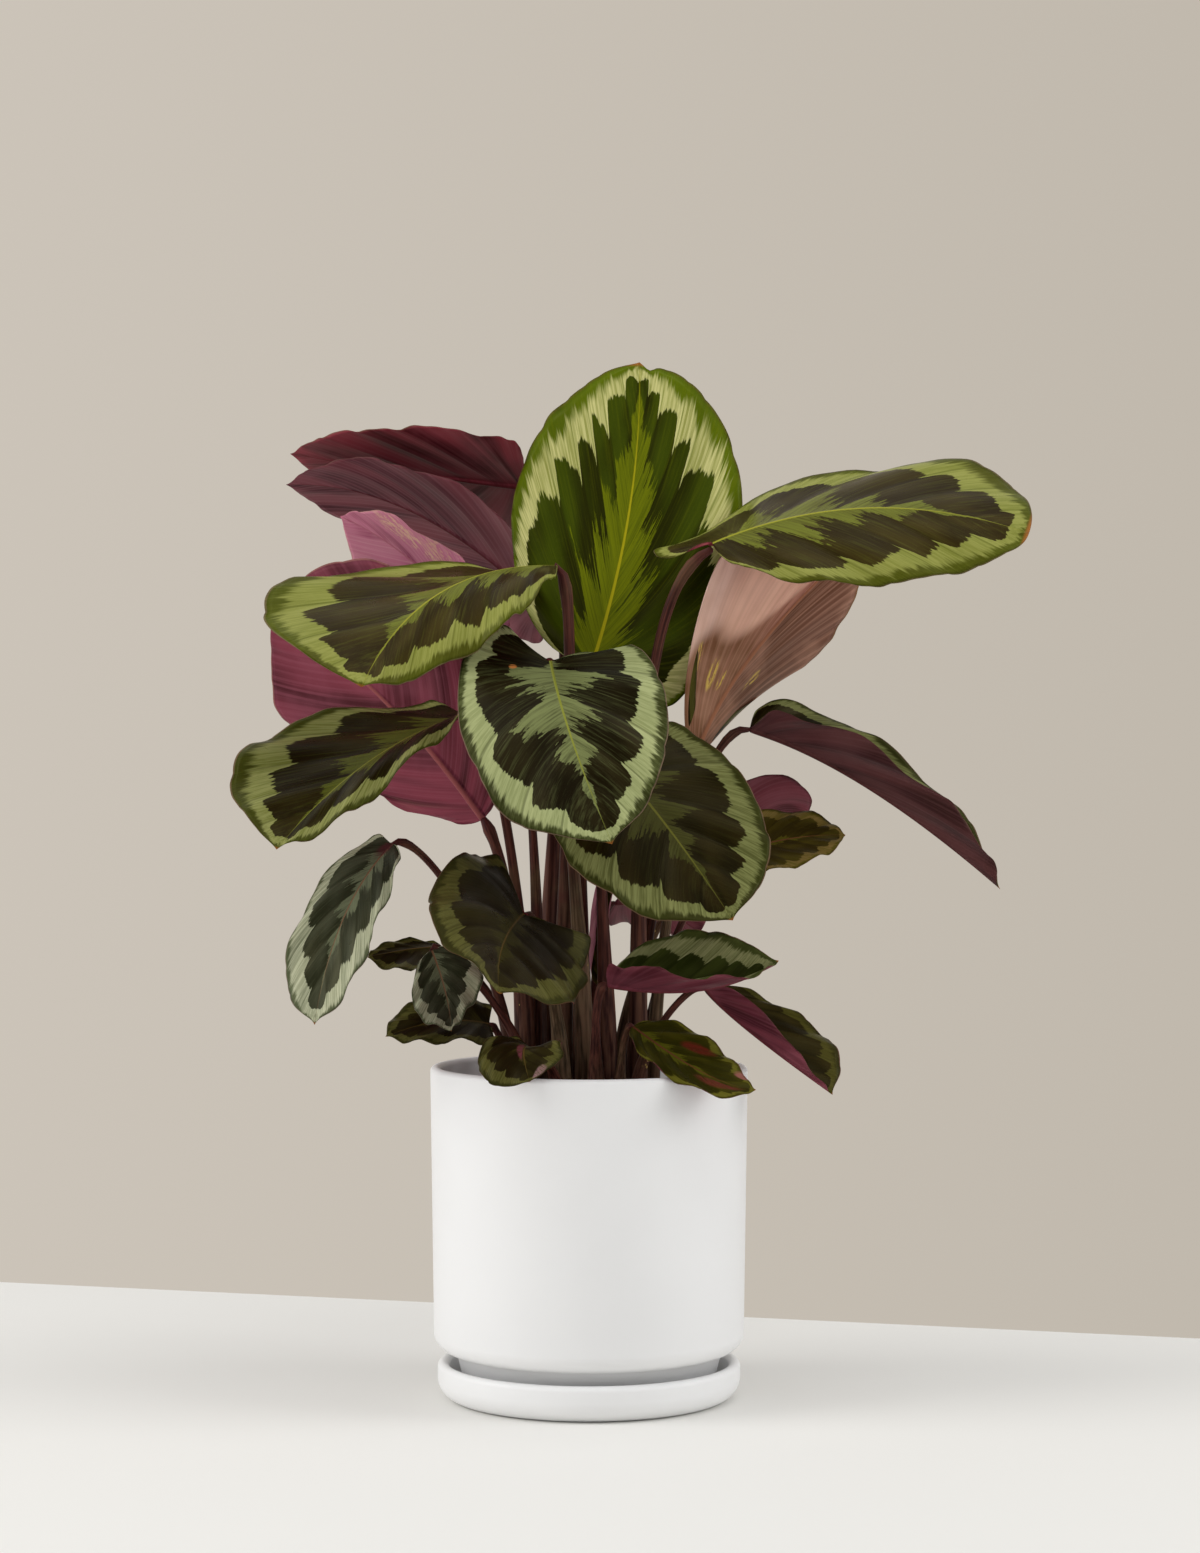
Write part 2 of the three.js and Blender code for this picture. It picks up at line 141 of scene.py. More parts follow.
LEAVES = [
    dict(name="crown", base=(1, 28, 391), mid=(22, 50, 478), tip=(28, 70, 563), face=(0, -1, 0.2),
         half=(64, 64), lobe=(0.1, 0.55), ovate=(-0.1, -0.05), cusp=0.2, notch=(0.974, 0.016, 3),
         fold=(4, 2), curl=(-10, 0), wave=3, sweep=8, root=(-4, 14), upper="bright", under="wine"),
    dict(name="right_high", base=(66, -10, 456), mid=(148, -20, 474), tip=(232, -30, 460),
         face=(0, -0.58, 0.74), half=(57, 53), lobe=(0.9, 0), ovate=(-0.6, 0.06), cusp=0,
         fold=(-10, -7), curl=(-3, -19), twist=22, wave=3, drop=3.4, neck=0.15, root=(26, -4),
         upper="fresh", under="maroon"),
    dict(name="right_back", base=(56, 8, 338), mid=(88, 23, 397), tip=(156, 57, 468),
         face=(-0.18, 0.6, 0.32), half=(49, 45), ovate=(-0.8, -0.7), taper=2.2, fold=(15, 15),
         curl=(30, 8), twist=-45, wave=1, sweep=9, lobes=7, root=(24, 14), upper="shadow",
         under="copper"),
    dict(name="left_crest", base=(-34, 92, 495), mid=(-102, 110, 505), tip=(-172, 120, 517),
         face=(0, 0.42, 0.91), half=(56, 56), lobe=(0.5, 0.5), ovate=(0.35, 0.2), wave=1, pleat=1.3,
         root=(-24, 37), upper="classic", under="maroon"),
    dict(name="left_ridge", base=(-26, 96, 428), mid=(-100, 101, 482), tip=(-172, 96, 497),
         face=(0.1, 0.38, 0.9), half=(54, 54), lobe=(0.2, 0.5), wave=1.5, pleat=1.2, root=(-10, 32),
         upper="classic", under="mauve"),
    dict(name="left_rose", base=(-52, 52, 405), mid=(-96, 62, 450), tip=(-139, 68, 477),
         face=(0.3, 0.85, 0.4), half=(34, 38), lobe=(0.4, 0.4), fold=(-30, 0), wave=2, root=(-27, 18),
         upper="classic", under="blush"),
    dict(name="left_back", base=(-58, 30, 309), mid=(-113, 45, 374), tip=(-177, 60, 427),
         face=(0.35, 0.85, 0.4), half=(62, 62), lobe=(0.1, 0), ovate=(-0.4, -0.4), fold=(5, 5), wave=3,
         root=(-34, 9), upper="classic", under="berry"),
    dict(name="left_high", base=(-18, -25, 443), mid=(-78, -48, 427), tip=(-115, -95, 377),
         face=(-0.33, -0.53, 0.8), half=(50, 74), lobe=(0.14, 0.42), ovate=(0.31, -0.45), fold=(-9, -8),
         curl=(-14, 22), twist=-69, wave=3, neck=0.05, root=(-14, -6), upper="fresh", under="maroon"),
    dict(name="left_middle", base=(-65, -25, 365), mid=(-116, -52, 338), tip=(-157, -105, 295),
         face=(-0.22, -0.54, 0.96), half=(31, 62), lobe=(0.27, 0.23), ovate=(0.22, -0.01), fold=(16, 3),
         curl=(-22, 17), twist=-45, wave=3, neck=0.07, root=(-32, -10), upper="classic",
         under="maroon"),
    dict(name="front_middle", base=(-20, -45, 392), mid=(-9, -84, 352), tip=(12, -115, 298),
         face=(0.11, -0.62, 0.58), half=(53, 54), lobe=(0.27, 0.95), ovate=(0.17, -0.44), fold=(19, 11),
         curl=(-2, -7), wave=2.5, lobes=5, drop=2.5, root=(-2, -20), upper="cool", under="maroon"),
    dict(name="front_right", base=(12, -26, 340), mid=(42, -52, 304), tip=(74, -76, 258),
         face=(0.1, -0.75, 0.6), half=(52, 60), lobe=(0.5, 0.5), ovate=(0, 0), fold=(5, 5), wave=2.5,
         lobes=5, root=(10, -14), upper="deep", under="wine"),
    dict(name="right_far", base=(87, 15, 357), mid=(150, 25, 327), tip=(225, 35, 270),
         face=(0.6, 0, 0.8), half=(32, 30), lobe=(0.2, 0.2), fold=(52, 40), wave=3, root=(34, 6),
         upper="deep", under="dusk"),
    dict(name="left_droop", base=(-103, -36, 296), mid=(-127, -57, 258), tip=(-141, -70, 204),
         face=(-0.3, -0.87, 0.4), half=(27, 23), lobe=(0, 0.35), ovate=(-0.12, -0.4), fold=(24, 7),
         curl=(-3, -10), wave=2, root=(-40, -1), upper="frost", under="wine"),
    dict(name="low_middle", base=(-34, -46, 260), mid=(-44, -89, 245), tip=(-44, -130, 224),
         face=(-0.2, -0.65, 0.75), half=(48, 48), lobe=(1.1, 1), ovate=(-0.2, 0), fold=(-29, 66),
         curl=(-31, -51), wave=3, drop=2.5, neck=0.2, root=(-14, -28), upper="dusky", under="maroon"),
    dict(name="left_slip", base=(-78, 19, 238), mid=(-91, 14, 239), tip=(-119, -1, 235),
         face=(0.15, -0.23, 0.96), half=(23, 10), ovate=(0.17, 0.1), fold=(-30, 2), curl=(55, 33),
         twist=-18, wave=1.5, root=(-36, 24), fine=False, upper="dusky", under="rose"),
    dict(name="left_low", base=(-83, -24, 240), mid=(-75, -37, 218), tip=(-71, -60, 200),
         face=(-0.1, -0.77, 0.62), half=(20, 18), ovate=(0.6, -0.14), fold=(18, 10), curl=(-37, -10),
         twist=-6, wave=2, root=(-30, -26), fine=False, upper="silver", under="plum"),
    dict(name="left_lowest", base=(-53, -15, 200), mid=(-79, -24, 202), tip=(-107, -34, 195),
         face=(0, -0.6, 0.8), half=(22, 18), lobe=(0.4, 0.4), fold=(10, 10), wave=2, root=(-42, -14),
         fine=False, upper="dusky", under="plum"),
    dict(name="rim_left", base=(-29, -73, 192), mid=(-33, -83, 191), tip=(-30, -84, 176),
         face=(0.12, -0.65, 0.75), half=(22, 23), ovate=(0.05, -0.4), fold=(25, 0), curl=(13, -5),
         twist=-18, wave=2, root=(-16, -42), fine=False, upper="veined", under="plum"),
    dict(name="right_low", base=(10, -46, 223), mid=(61, -50, 221), tip=(99, -51, 236),
         face=(0.4, -0.5, 0.75), half=(33, 41), lobe=(0, 0.28), ovate=(0, 0.49), fold=(38, 49),
         curl=(-2, 1), wave=2, root=(4, -36), fine=False, upper="meadow", under="plum"),
    dict(name="right_lowest", base=(62, -18, 219), mid=(85, -24, 197), tip=(127, -50, 166),
         face=(0.6, -0.45, 0.66), half=(30, 12), ovate=(-0.2, 0.6), fold=(33, 82), curl=(-14, 23),
         twist=8, wave=2, root=(25, -21), fine=False, upper="shadow", under="plum"),
    dict(name="rim_right", base=(23, -44, 201), mid=(59, -66, 179), tip=(86, -74, 171),
         face=(0.03, -0.55, 0.83), half=(23, 18), ovate=(0.17, -0.22), fold=(6, 4), curl=(-9, 14),
         twist=-4, wave=1.5, root=(16, -36), fine=False, upper="ruddy", under="plum"),
    dict(name="right_middle", base=(78, 5, 290), mid=(108, 12, 298), tip=(139, 18, 300),
         face=(0, -0.7, 0.7), half=(22, 22), lobe=(0.4, 0.4), fold=(5, 5), wave=2, root=(30, 20),
         fine=False, upper="olive", under="plum"),
    dict(name="right_behind", base=(60, 34, 284), mid=(94, 50, 311), tip=(118, 74, 304),
         face=(0, 0.8, 0.6), half=(28, 28), lobe=(0.4, 0.4), fold=(5, 5), wave=2, root=(16, 30),
         fine=False, upper="deep", under="plum"),
    dict(name="middle_behind", base=(14, 48, 262), mid=(38, 62, 258), tip=(62, 78, 244),
         face=(0, 0.6, 0.8), half=(26, 26), lobe=(0.3, 0.3), fold=(5, 5), wave=2, root=(2, 36),
         fine=False, upper="deep", under="plum"),
    dict(name="rolled", base=(6, 10, 219), mid=(4, 12, 251), tip=(11, 18, 287), face=(0.2, -1, 0),
         half=(15, 15), taper=1.4, fold=(20, 20), curl=(120, 120), wave=0, root=(6, 6), fine=False,
         upper="olive", under="rose"),
]
LEAVES = [dict(USUAL_LEAF, **leaf) for leaf in LEAVES]

# Colours of the upper side as they look in even light, 0 to 255 a channel; shadow alone is darkened
# with painted shade. feather, dark and edge are how far the flames, the dark zone and the pale band
# reach from the midrib, as a share of the half blade. flame is how much of the flames' reach is in
# their points, fall where along the blade they begin to shorten, and upright flames are measured
# straight out from the midrib. marks are small coloured blots: their place along and across the
# blade, their size that way, and their colour.
UPPER_LOOKS = {
    "bright": dict(ground=(32, 35, 3), tint=(56, 68, 7), plume=(108, 116, 11), pale=(204, 200, 134),
                   rim=(86, 102, 10), rib=(162, 152, 22), line=(104, 98, 36), feather=0.36, dark=0.77,
                   edge=0.91, flame=0.6, fall=0.4, upright=True),
    "fresh": dict(ground=(40, 30, 10), tint=(60, 50, 20), plume=(110, 116, 42), pale=(148, 150, 78),
                  rim=(78, 84, 18), rib=(150, 148, 46), line=(136, 118, 84), feather=0.48, dark=0.74,
                  edge=0.9),
    "classic": dict(ground=(27, 19, 4), tint=(44, 37, 11), plume=(92, 98, 32), pale=(146, 148, 88),
                    rim=(64, 68, 20), rib=(128, 128, 46), line=(136, 110, 84), feather=0.46, dark=0.73,
                    edge=0.9),
    "cool": dict(ground=(15, 9, 1), tint=(32, 26, 10), plume=(124, 132, 82), pale=(168, 174, 122),
                 rim=(54, 60, 26), rib=(138, 142, 56), line=(146, 118, 100), feather=0.52, dark=0.73,
                 edge=0.91, marks=[(0.455, -0.55, 0.012, 0.045, (196, 122, 62))]),
    "deep": dict(ground=(16, 10, 1), tint=(36, 28, 7), plume=(66, 68, 28), pale=(128, 132, 80),
                 rim=(54, 58, 22), rib=(98, 98, 36), line=(136, 106, 84), feather=0.42, dark=0.74,
                 edge=0.91),
    "dusky": dict(ground=(28, 20, 7), tint=(44, 38, 15), plume=(60, 56, 22), pale=(96, 94, 48),
                  rim=(54, 54, 22), rib=(92, 72, 34), line=(116, 86, 62), feather=0.3, dark=0.7,
                  edge=0.9),
    "silver": dict(ground=(38, 40, 26), tint=(66, 68, 52), plume=(104, 110, 84), pale=(186, 188, 158),
                   rim=(84, 92, 64), rib=(120, 88, 66), line=(156, 138, 122), feather=0.34, dark=0.68,
                   edge=0.93),
    "meadow": dict(ground=(34, 40, 10), tint=(58, 66, 24), plume=(84, 88, 46), pale=(150, 150, 104),
                   rim=(62, 68, 30), rib=(98, 98, 36), line=(150, 106, 84), feather=0.2, dark=0.62,
                   edge=0.86),
    # A darker copy of a green upper side: painted shade, for leaves that lie in shade.
    "shadow": dict(ground=(26, 20, 4), tint=(48, 40, 14), plume=(66, 62, 20), pale=(78, 74, 30),
                   rim=(52, 50, 18), rib=(92, 92, 38), line=(136, 92, 78), feather=0.2, dark=0.8,
                   edge=0.93),
    "olive": dict(ground=(46, 36, 10), tint=(70, 60, 16), plume=(84, 78, 22), pale=(128, 104, 58),
                  rim=(82, 74, 20), rib=(104, 62, 42), line=(140, 88, 70), feather=0.26, dark=0.78,
                  edge=0.93),
    "ruddy": dict(ground=(40, 38, 5), tint=(62, 58, 12), plume=(84, 84, 18), pale=(104, 98, 36),
                  rim=(70, 66, 14), rib=(96, 50, 36), line=(150, 92, 84), feather=0.3, dark=0.86,
                  edge=0.95, marks=[(0.84, 0.97, 0.06, 0.12, (150, 92, 84)),
                                    (0.63, 0.72, 0.08, 0.2, (92, 34, 22)),
                                    (0.88, -0.6, 0.1, 0.24, (98, 46, 34))]),
}
UPPER_LOOKS["frost"] = dict(UPPER_LOOKS["silver"], marks=[(0.3, -0.1, 0.24, 0.36, (82, 40, 44))])
UPPER_LOOKS["veined"] = dict(UPPER_LOOKS["dusky"], marks=[(0.72, -0.2, 0.14, 0.12, (112, 58, 64)),
                                                          (0.88, 0.85, 0.1, 0.14, (150, 116, 116))])

# Colours of the underside: skin on the pillows, groove between them, which is painted shade of the
# pleats as well as the leaf's own darker tone, vein on the fine veins, rib on the midrib, line on the
# margin and foot near the base. stripes is the count of fine stripes in a lobe where it isn't the usual
# one, and striped how plain they are. painted_light_and_shade holds broad soft patches of painted
# highlight and painted shade, and marks mottled blots, as above.
UNDER_LOOKS = {
    "wine": dict(skin=(84, 32, 36), groove=(50, 13, 18), vein=(104, 52, 54), rib=(104, 44, 44),
                 line=(140, 110, 90), striped=0.15),
    "maroon": dict(skin=(136, 52, 64), groove=(72, 18, 27), vein=(152, 80, 90), rib=(98, 34, 42),
                   line=(140, 110, 90), striped=0.15),
    "mauve": dict(skin=(118, 60, 70), groove=(74, 30, 42), vein=(138, 86, 96), rib=(92, 40, 48),
                  line=(130, 84, 84), striped=0.3),
    "blush": dict(skin=(190, 112, 138), groove=(148, 66, 98), vein=(212, 156, 164), rib=(170, 98, 114),
                  line=(196, 150, 134), striped=0.2,
                  marks=[(0.75, 0.82, 0.08, 0.22, (212, 170, 146)),
                         (0.66, 0.72, 0.09, 0.2, (212, 170, 146)),
                         (0.56, 0.86, 0.1, 0.2, (206, 160, 140))]),
    "berry": dict(skin=(124, 54, 70), groove=(72, 26, 38), vein=(144, 78, 94), rib=(142, 78, 78),
                  line=(170, 116, 108), striped=0.2),
    "rose": dict(skin=(160, 98, 112), groove=(120, 58, 76), vein=(182, 128, 134), rib=(144, 80, 86),
                 line=(170, 120, 112), striped=0.2),
    "plum": dict(skin=(116, 54, 66), groove=(76, 30, 40), vein=(134, 76, 88), rib=(104, 46, 52),
                 line=(140, 92, 88), striped=0.2),
    "copper": dict(skin=(190, 134, 116), groove=(134, 86, 68), vein=(200, 152, 128), rib=(150, 98, 72),
                   line=(150, 104, 60), foot=(98, 64, 36), stripes=3, striped=0.16,
                   # Broad soft patches: the two light ones on the right half are a painted highlight,
                   # the two dark ones on the left half painted shade.
                   painted_light_and_shade=[(0.62, -0.9, 0.28, 0.25, (255, 216, 198)),
                          (0.8, -0.8, 0.16, 0.22, (244, 196, 172)),
                          (0.78, 0.8, 0.3, 0.4, (82, 48, 32)),
                          (0.88, 0.4, 0.12, 0.3, (82, 48, 34))],
                   marks=[(0.62, -0.62, 0.03, 0.07, (200, 168, 84)),
                          (0.73, -0.5, 0.03, 0.08, (200, 168, 84)),
                          (0.79, -0.42, 0.02, 0.06, (200, 168, 84)),
                          (0.76, 0.58, 0.03, 0.06, (190, 160, 78))]),
    "dusk": dict(skin=(88, 50, 52), groove=(54, 26, 30), vein=(110, 72, 74), rib=(82, 42, 44),
                 line=(116, 84, 74), striped=0.15),
}

# Colours of the other surfaces, 0 to 255 a channel. A pair runs from its darker to its lighter tone.
STALK_MAROON = ((50, 24, 21), (100, 56, 46))
STALK_OLIVE = ((54, 42, 25), (118, 96, 72))
STALK_PATCH = (104, 78, 54)
STALK_SHEATH = (116, 90, 70)
STALK_TOP = (70, 28, 30)
STALK_DOT = (196, 164, 96)
POT_WHITE = (240, 240, 240)
SAUCER_WHITE = (242, 242, 242)
GLAZE_PINHOLE = (150, 142, 130)
SOIL_TONES = ((26, 17, 12), (66, 45, 32))
SOIL_GRAIN = (104, 78, 56)
BARK_TONES = ((40, 25, 17), (112, 76, 50))
BARK_STAIN = (72, 50, 36)
PERLITE = (206, 200, 188)
TABLE_TONE = (236, 235, 231)

# Camera: level, in front of the plant, a little above the pot. Metres, and millimetres for the lens.
CAMERA_PLACE = (0.0059, -1.719, 0.3318)
CAMERA_LENS = 74.3
CAMERA_SENSOR = 36

# A pale table whose far edge runs a little aslant, in metres
TABLE_SIZE = (6.0, 3.0)
TABLE_EDGE = (0.0, 0.275)
TABLE_TURN = math.radians(-15.8)

# The room's light: even and neutral all around, and the wall's beige at the back, lighter on the
# left than on the right.
ROOM_LIGHT = (198, 198, 198)
WALL_LEFT = (205, 197, 186)
WALL_RIGHT = (191, 183, 171)
WALL_SPREAD = 0.24
WALL_STARTS = 0.5
WALL_FULL = 0.85

# Soft studio lights: place, aim, size in metres, power in watts, colour
LIGHTS = [
    ("left_softbox", (-1.9, -0.5, 1.1), (0, 0, 0.25), 1.2, 20.5, (1.0, 0.99, 0.98)),
    ("right_softbox", (1.9, -0.4, 1.1), (0, 0, 0.2), 1.0, 13, (1.0, 1.0, 1.0)),
    ("top_softbox", (0.1, -0.4, 1.9), (0, 0, 0.25), 1.0, 6.5, (1.0, 1.0, 1.0)),
]

random.seed(11)


def unit(rows):
    return rows / np.linalg.norm(rows, axis=-1, keepdims=True)


def smoothstep(value, low, high):
    share = np.clip((value - low) / (high - low), 0, 1)
    return share * share * (3 - 2 * share)


def turned_about(rows, axes, angles):
    """Rows of vectors, each turned about its own unit axis."""
    cosine, sine = np.cos(angles)[..., None], np.sin(angles)[..., None]
    inner = np.sum(rows * axes, axis=-1, keepdims=True)
    return rows * cosine + np.cross(axes, rows) * sine + axes * inner * (1 - cosine)


class Path:
    """A Bezier curve of three or four points, followed by its length."""

    def __init__(self, *points):
        self.points = [np.array(p, dtype=float) for p in points]
        self.order = len(points) - 1
        self.steps = np.linspace(0, 1, 401)
        along = np.linalg.norm(np.diff(self.curve(self.steps), axis=0), axis=1)
        self.lengths = np.concatenate(([0], np.cumsum(along)))
        self.length = self.lengths[-1]

    def curve(self, u):
        u = np.asarray(u, dtype=float)[..., None]
        return sum(
            math.comb(self.order, i) * (1 - u) ** (self.order - i) * u**i * p
            for i, p in enumerate(self.points)
        )

    def share(self, t):
        return np.interp(np.asarray(t) * self.length, self.lengths, self.steps)

    def at(self, t):
        return self.curve(self.share(t))

    def tangent(self, t):
        u = self.share(t)
        return unit(self.curve(np.minimum(u + 1e-4, 1)) - self.curve(np.maximum(u - 1e-4, 0)))


def midrib_of(leaf):
    base, mid, tip = (np.array(leaf[key], dtype=float) for key in ("base", "mid", "tip"))
    return Path(base, 2 * mid - (base + tip) / 2, tip)


def by_side(pair, s):
    return np.where(s < 0, float(pair[1]), float(pair[0]))


def petiole_slimness(leaf):
    """The petiole's radius just below the blade."""
    return SLIM_RADIUS + sum(leaf["half"]) * SLIM_GROWTH


class Blade:
    """The middle surface of a leaf's blade. q runs from base to tip and s across it, from 1 at the
    left margin over 0 at the midrib to -1 at the right margin. Lines of one q are side veins."""

    def __init__(self, leaf):
        self.leaf = leaf
        self.number = LEAVES.index(leaf)
        self.midrib = midrib_of(leaf)
        self.width = sum(leaf["half"]) / 2
        self.face = unit(np.array(leaf["face"], dtype=float))
        self.knots = [self.lobe_knots(side) for side in (0, 1)]

    def lobe_knots(self, side):
        """Where each lobe of the pattern ends and the next begins."""
        dice = np.random.default_rng(10 * self.number + side)
        widths = dice.uniform(0.7, 1.3, self.leaf["lobes"])
        return np.concatenate(([0], np.cumsum(widths) / np.sum(widths)))

    def turn(self, q, s):
        """How many lobes lie between the base and a side vein, with the part of the last one."""
        place = np.clip(q, 0, 1) ** (LOBE_CROWDING * self.leaf["sweep"])
        left, right = (np.interp(place, knots, np.arange(len(knots))) for knots in self.knots)
        return np.where(s < 0, right, left)

    def flat(self, q, s):
        """The place in the blade laid flat: x along the midrib, y the distance from it."""
        leaf, length = self.leaf, self.midrib.length
        across = np.abs(s)
        sine, cosine = np.maximum(np.sin(np.pi * q), 0), np.cos(np.pi * q)
        reach = (1 - cosine) / 2
        back = by_side(leaf["lobe"], s) * (sine * (1 + cosine) / 2) ** 2
        point = leaf["cusp"]
        drip = (1 - point) * reach**10 + point * np.exp((q - 1) / DRIP_TIP_SHARE)
        margin_x = length * ((1 - APEX_SHARE) * reach - back + APEX_SHARE * drip)
        margin_y = by_side(leaf["half"], s) * sine ** leaf["taper"]
        margin_y = margin_y * (1 + by_side(leaf["ovate"], s) * cosine)
        dent = (1 - np.abs(np.sin(np.pi * self.turn(q, s)))) ** 2
        margin_y = margin_y * (1 - LOBE_DENT * dent * across**6)
        if "notch" in leaf:
            place, breadth, depth = leaf["notch"]
            margin_x = margin_x - np.where(s < 0, depth * np.exp(-(((q - place) / breadth) ** 2)), 0)
        vein_x = length * np.clip(q, 0, 1) ** leaf["sweep"]
        bend_x = vein_x + VEIN_BEND * (margin_x - vein_x)
        x = (1 - across) ** 2 * vein_x + 2 * across * (1 - across) * bend_x + across**2 * margin_x
        return x, margin_y * (VEIN_BULGE * across * (1 - across) + across**2)

    def points(self, q, s):
        """The place in space: the flat blade folded and rolled across, waved, twisted and bent."""
        leaf, length = self.leaf, self.midrib.length
        across = np.abs(s)
        x, y = self.flat(q, s)
        fold = np.radians(by_side(leaf["fold"], s))
        turn = np.radians(by_side(leaf["curl"], s)) / by_side(leaf["half"], s)
        straight = np.abs(turn) < 1e-6
        turn = np.where(straight, 1e-6, turn)
        bent = fold + turn * y
        out = np.where(straight, y * np.cos(fold), (np.sin(bent) - np.sin(fold)) / turn)
        lift = np.where(straight, y * np.sin(fold), (np.cos(fold) - np.cos(bent)) / turn)
        ripple = leaf["wave"] * across**2 * np.sqrt(np.maximum(np.sin(np.pi * q), 0))
        shift = np.where(s < 0, RIGHT_WAVE_SHIFT, 0)
        ripple = ripple * np.sin(2 * np.pi * MARGIN_WAVES * q + shift)
        ripple = ripple + self.frill(q, s) * across**8

        t = np.clip(x / length, 0, 1)
        along = self.midrib.tangent(t)
        centre = self.midrib.at(t) + along * (x - t * length)[..., None]
        up = unit(self.face - along * np.sum(self.face * along, axis=-1, keepdims=True))
        up = turned_about(up, along, math.radians(leaf["twist"]) * (t - 0.5))
        left = np.cross(up, along)
        sideways = np.sign(s) * (out - ripple * np.sin(bent))
        return centre + left * sideways[..., None] + up * (lift + ripple * np.cos(bent))[..., None]

    def along(self, q, s):
        """How far along the midrib a place lies: 0 at the base and 1 at the tip."""
        return self.flat(q, s)[0] / self.midrib.length

    def beside(self, q, s):
        """How far beside the midrib a place lies, as a share of the half blade's width."""
        return self.flat(q, s)[1] / by_side(self.leaf["half"], s)

    def frill(self, q, s):
        """Small uneven waves right at the margin."""
        phase = self.number + np.where(s < 0, 2.6, 0)
        waves = np.sin(2 * np.pi * 11 * q + phase) + 0.7 * np.sin(2 * np.pi * 19 * q + 2.3 * phase)
        calm = 0.4 + 0.6 * np.sin(2 * np.pi * 1.7 * q + 1.7 * phase) ** 2
        return self.width * FRILL_HEIGHT * waves * calm * np.sin(np.pi * q)

    def rib(self, q, s):
        """How far a place lies into the raised midrib: 1 at its middle, 0 and less beside it."""
        x, y = self.flat(q, s)
        return 1 - y / self.rib_radius(x)

    def rib_radius(self, x):
        gone = np.clip(x / self.midrib.length, 0, 1)
        return RIB_BREADTH * petiole_slimness(self.leaf) * (1 - RIB_TAPER * gone)

    def sheet(self, face):
        """One side of the blade as a function of u and v: face is 1 for the upper side and -1 for
        the underside. Both sides are pleated: each lobe is a low pillow between two side veins."""
        depth = self.leaf["pleat"] * self.width * PLEAT_DEPTH

        def place(u, v):
            s = crowded(v)
            across = np.abs(s)
            near = np.clip(u, np.where(across < 0.02, 0.2, 0.01), 0.99)
            step = 1e-3
            along = self.points(near + step, s) - self.points(near - step, s)
            before, after = np.maximum(-1, s - step), np.minimum(1, s + step)
            normal = unit(np.cross(along, self.points(near, after) - self.points(near, before)))
            pole = np.sqrt(np.clip(np.sin(np.pi * u), 0, 1))
            pillow = np.abs(np.sin(np.pi * self.turn(u, s))) ** PILLOW_POWER - PILLOW_LEVEL
            pillow = pillow * smoothstep(across, 0.03, 0.3) * (1 - 0.6 * smoothstep(across, 0.6, 1))
            thick = BLADE_THICKNESS / 2 * (1 - across**6) * pole
            round_rib = np.sqrt(1 - (1 - np.clip(self.rib(u, s), 0, 1)) ** 2)
            height = self.rib_radius(self.flat(u, s)[0]) * round_rib * pole
            rise = depth * pillow * pole + face * thick
            rise = rise + (RIB_RISE_ABOVE if face > 0 else -RIB_RISE_BELOW) * height
            return self.points(u, np.where((u <= 0) | (u >= 1), 0, s)) + normal * rise[..., None]

        return place


def crowded(v):
    """Rows of the blade's grid, from -1 to 1, that lie closer together near the midrib."""
    sigma = 2 * v - 1
    return np.sign(sigma) * np.abs(sigma) ** ROW_CROWDING


def on_grid(measure):
    """A blade's measure by q and s, as a function of the grid's u and v."""
    return lambda u, v: measure(u, crowded(v))


def wrapped_grid(bm, columns, rows, place, slot=0, flip=False, **traits):
    """Adds a grid whose corners place(u, v) has moved. u and v from 0 to 1 are kept as its UV map,
    and each trait, a number or a function of u and v, as a value of the same name."""
    uv_layer = bm.loops.layers.uv.get("UVMap") or bm.loops.layers.uv.new("UVMap")
    layers = {}
    for name in traits:
        layers[name] = bm.verts.layers.float.get(name) or bm.verts.layers.float.new(name)
    made = bmesh.ops.create_grid(bm, x_segments=columns, y_segments=rows, size=0.5)["verts"]
    flat = np.array([v.co[:2] for v in made]) + 0.5
    flat = np.clip(np.round(flat, 6), 0, 1)
    for vertex, spot in zip(made, place(flat[:, 0], flat[:, 1]) * MM):
        vertex.co = spot
    for name, trait in traits.items():
        values = trait(flat[:, 0], flat[:, 1]) if callable(trait) else [trait] * len(made)
        for vertex, value in zip(made, values):
            vertex[layers[name]] = value
    uv_of = dict(zip(made, flat))
    faces = {face for vertex in made for face in vertex.link_faces}
    for face in faces:
        face.material_index = slot
        face.smooth = True
        for loop in face.loops:
            loop[uv_layer].uv = uv_of[loop.vert]
    if flip:
        bmesh.ops.reverse_faces(bm, faces=list(faces))


def added(name, data):
    """A new object in the scene that shows this data."""
    made = bpy.data.objects.new(name, data)
    bpy.context.scene.collection.objects.link(made)
    return made


def added_mesh(name, bm, materials):
    mesh = bpy.data.meshes.new(name)
    bm.to_mesh(mesh)
    bm.free()
    for material in materials:
        mesh.materials.append(material)
    return added(name, mesh)


def finished_piece(name, bm, materials, replaced=(), weld=1e-6):
    """Welds the mesh, makes it an object that rides on the part, and hides the nodes it replaces."""
    bmesh.ops.remove_doubles(bm, verts=bm.verts, dist=weld)
    piece = added_mesh(name, bm, materials)
    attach(piece, "root")
    if replaced:
        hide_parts(*replaced)


def linear(colour):
    """A colour of 0 to 255 a channel as the shader's linear red, green, blue and alpha."""
    parts = [c / 255 for c in colour]
    return (*[p / 12.92 if p <= 0.04045 else ((p + 0.055) / 1.055) ** 2.4 for p in parts], 1.0)


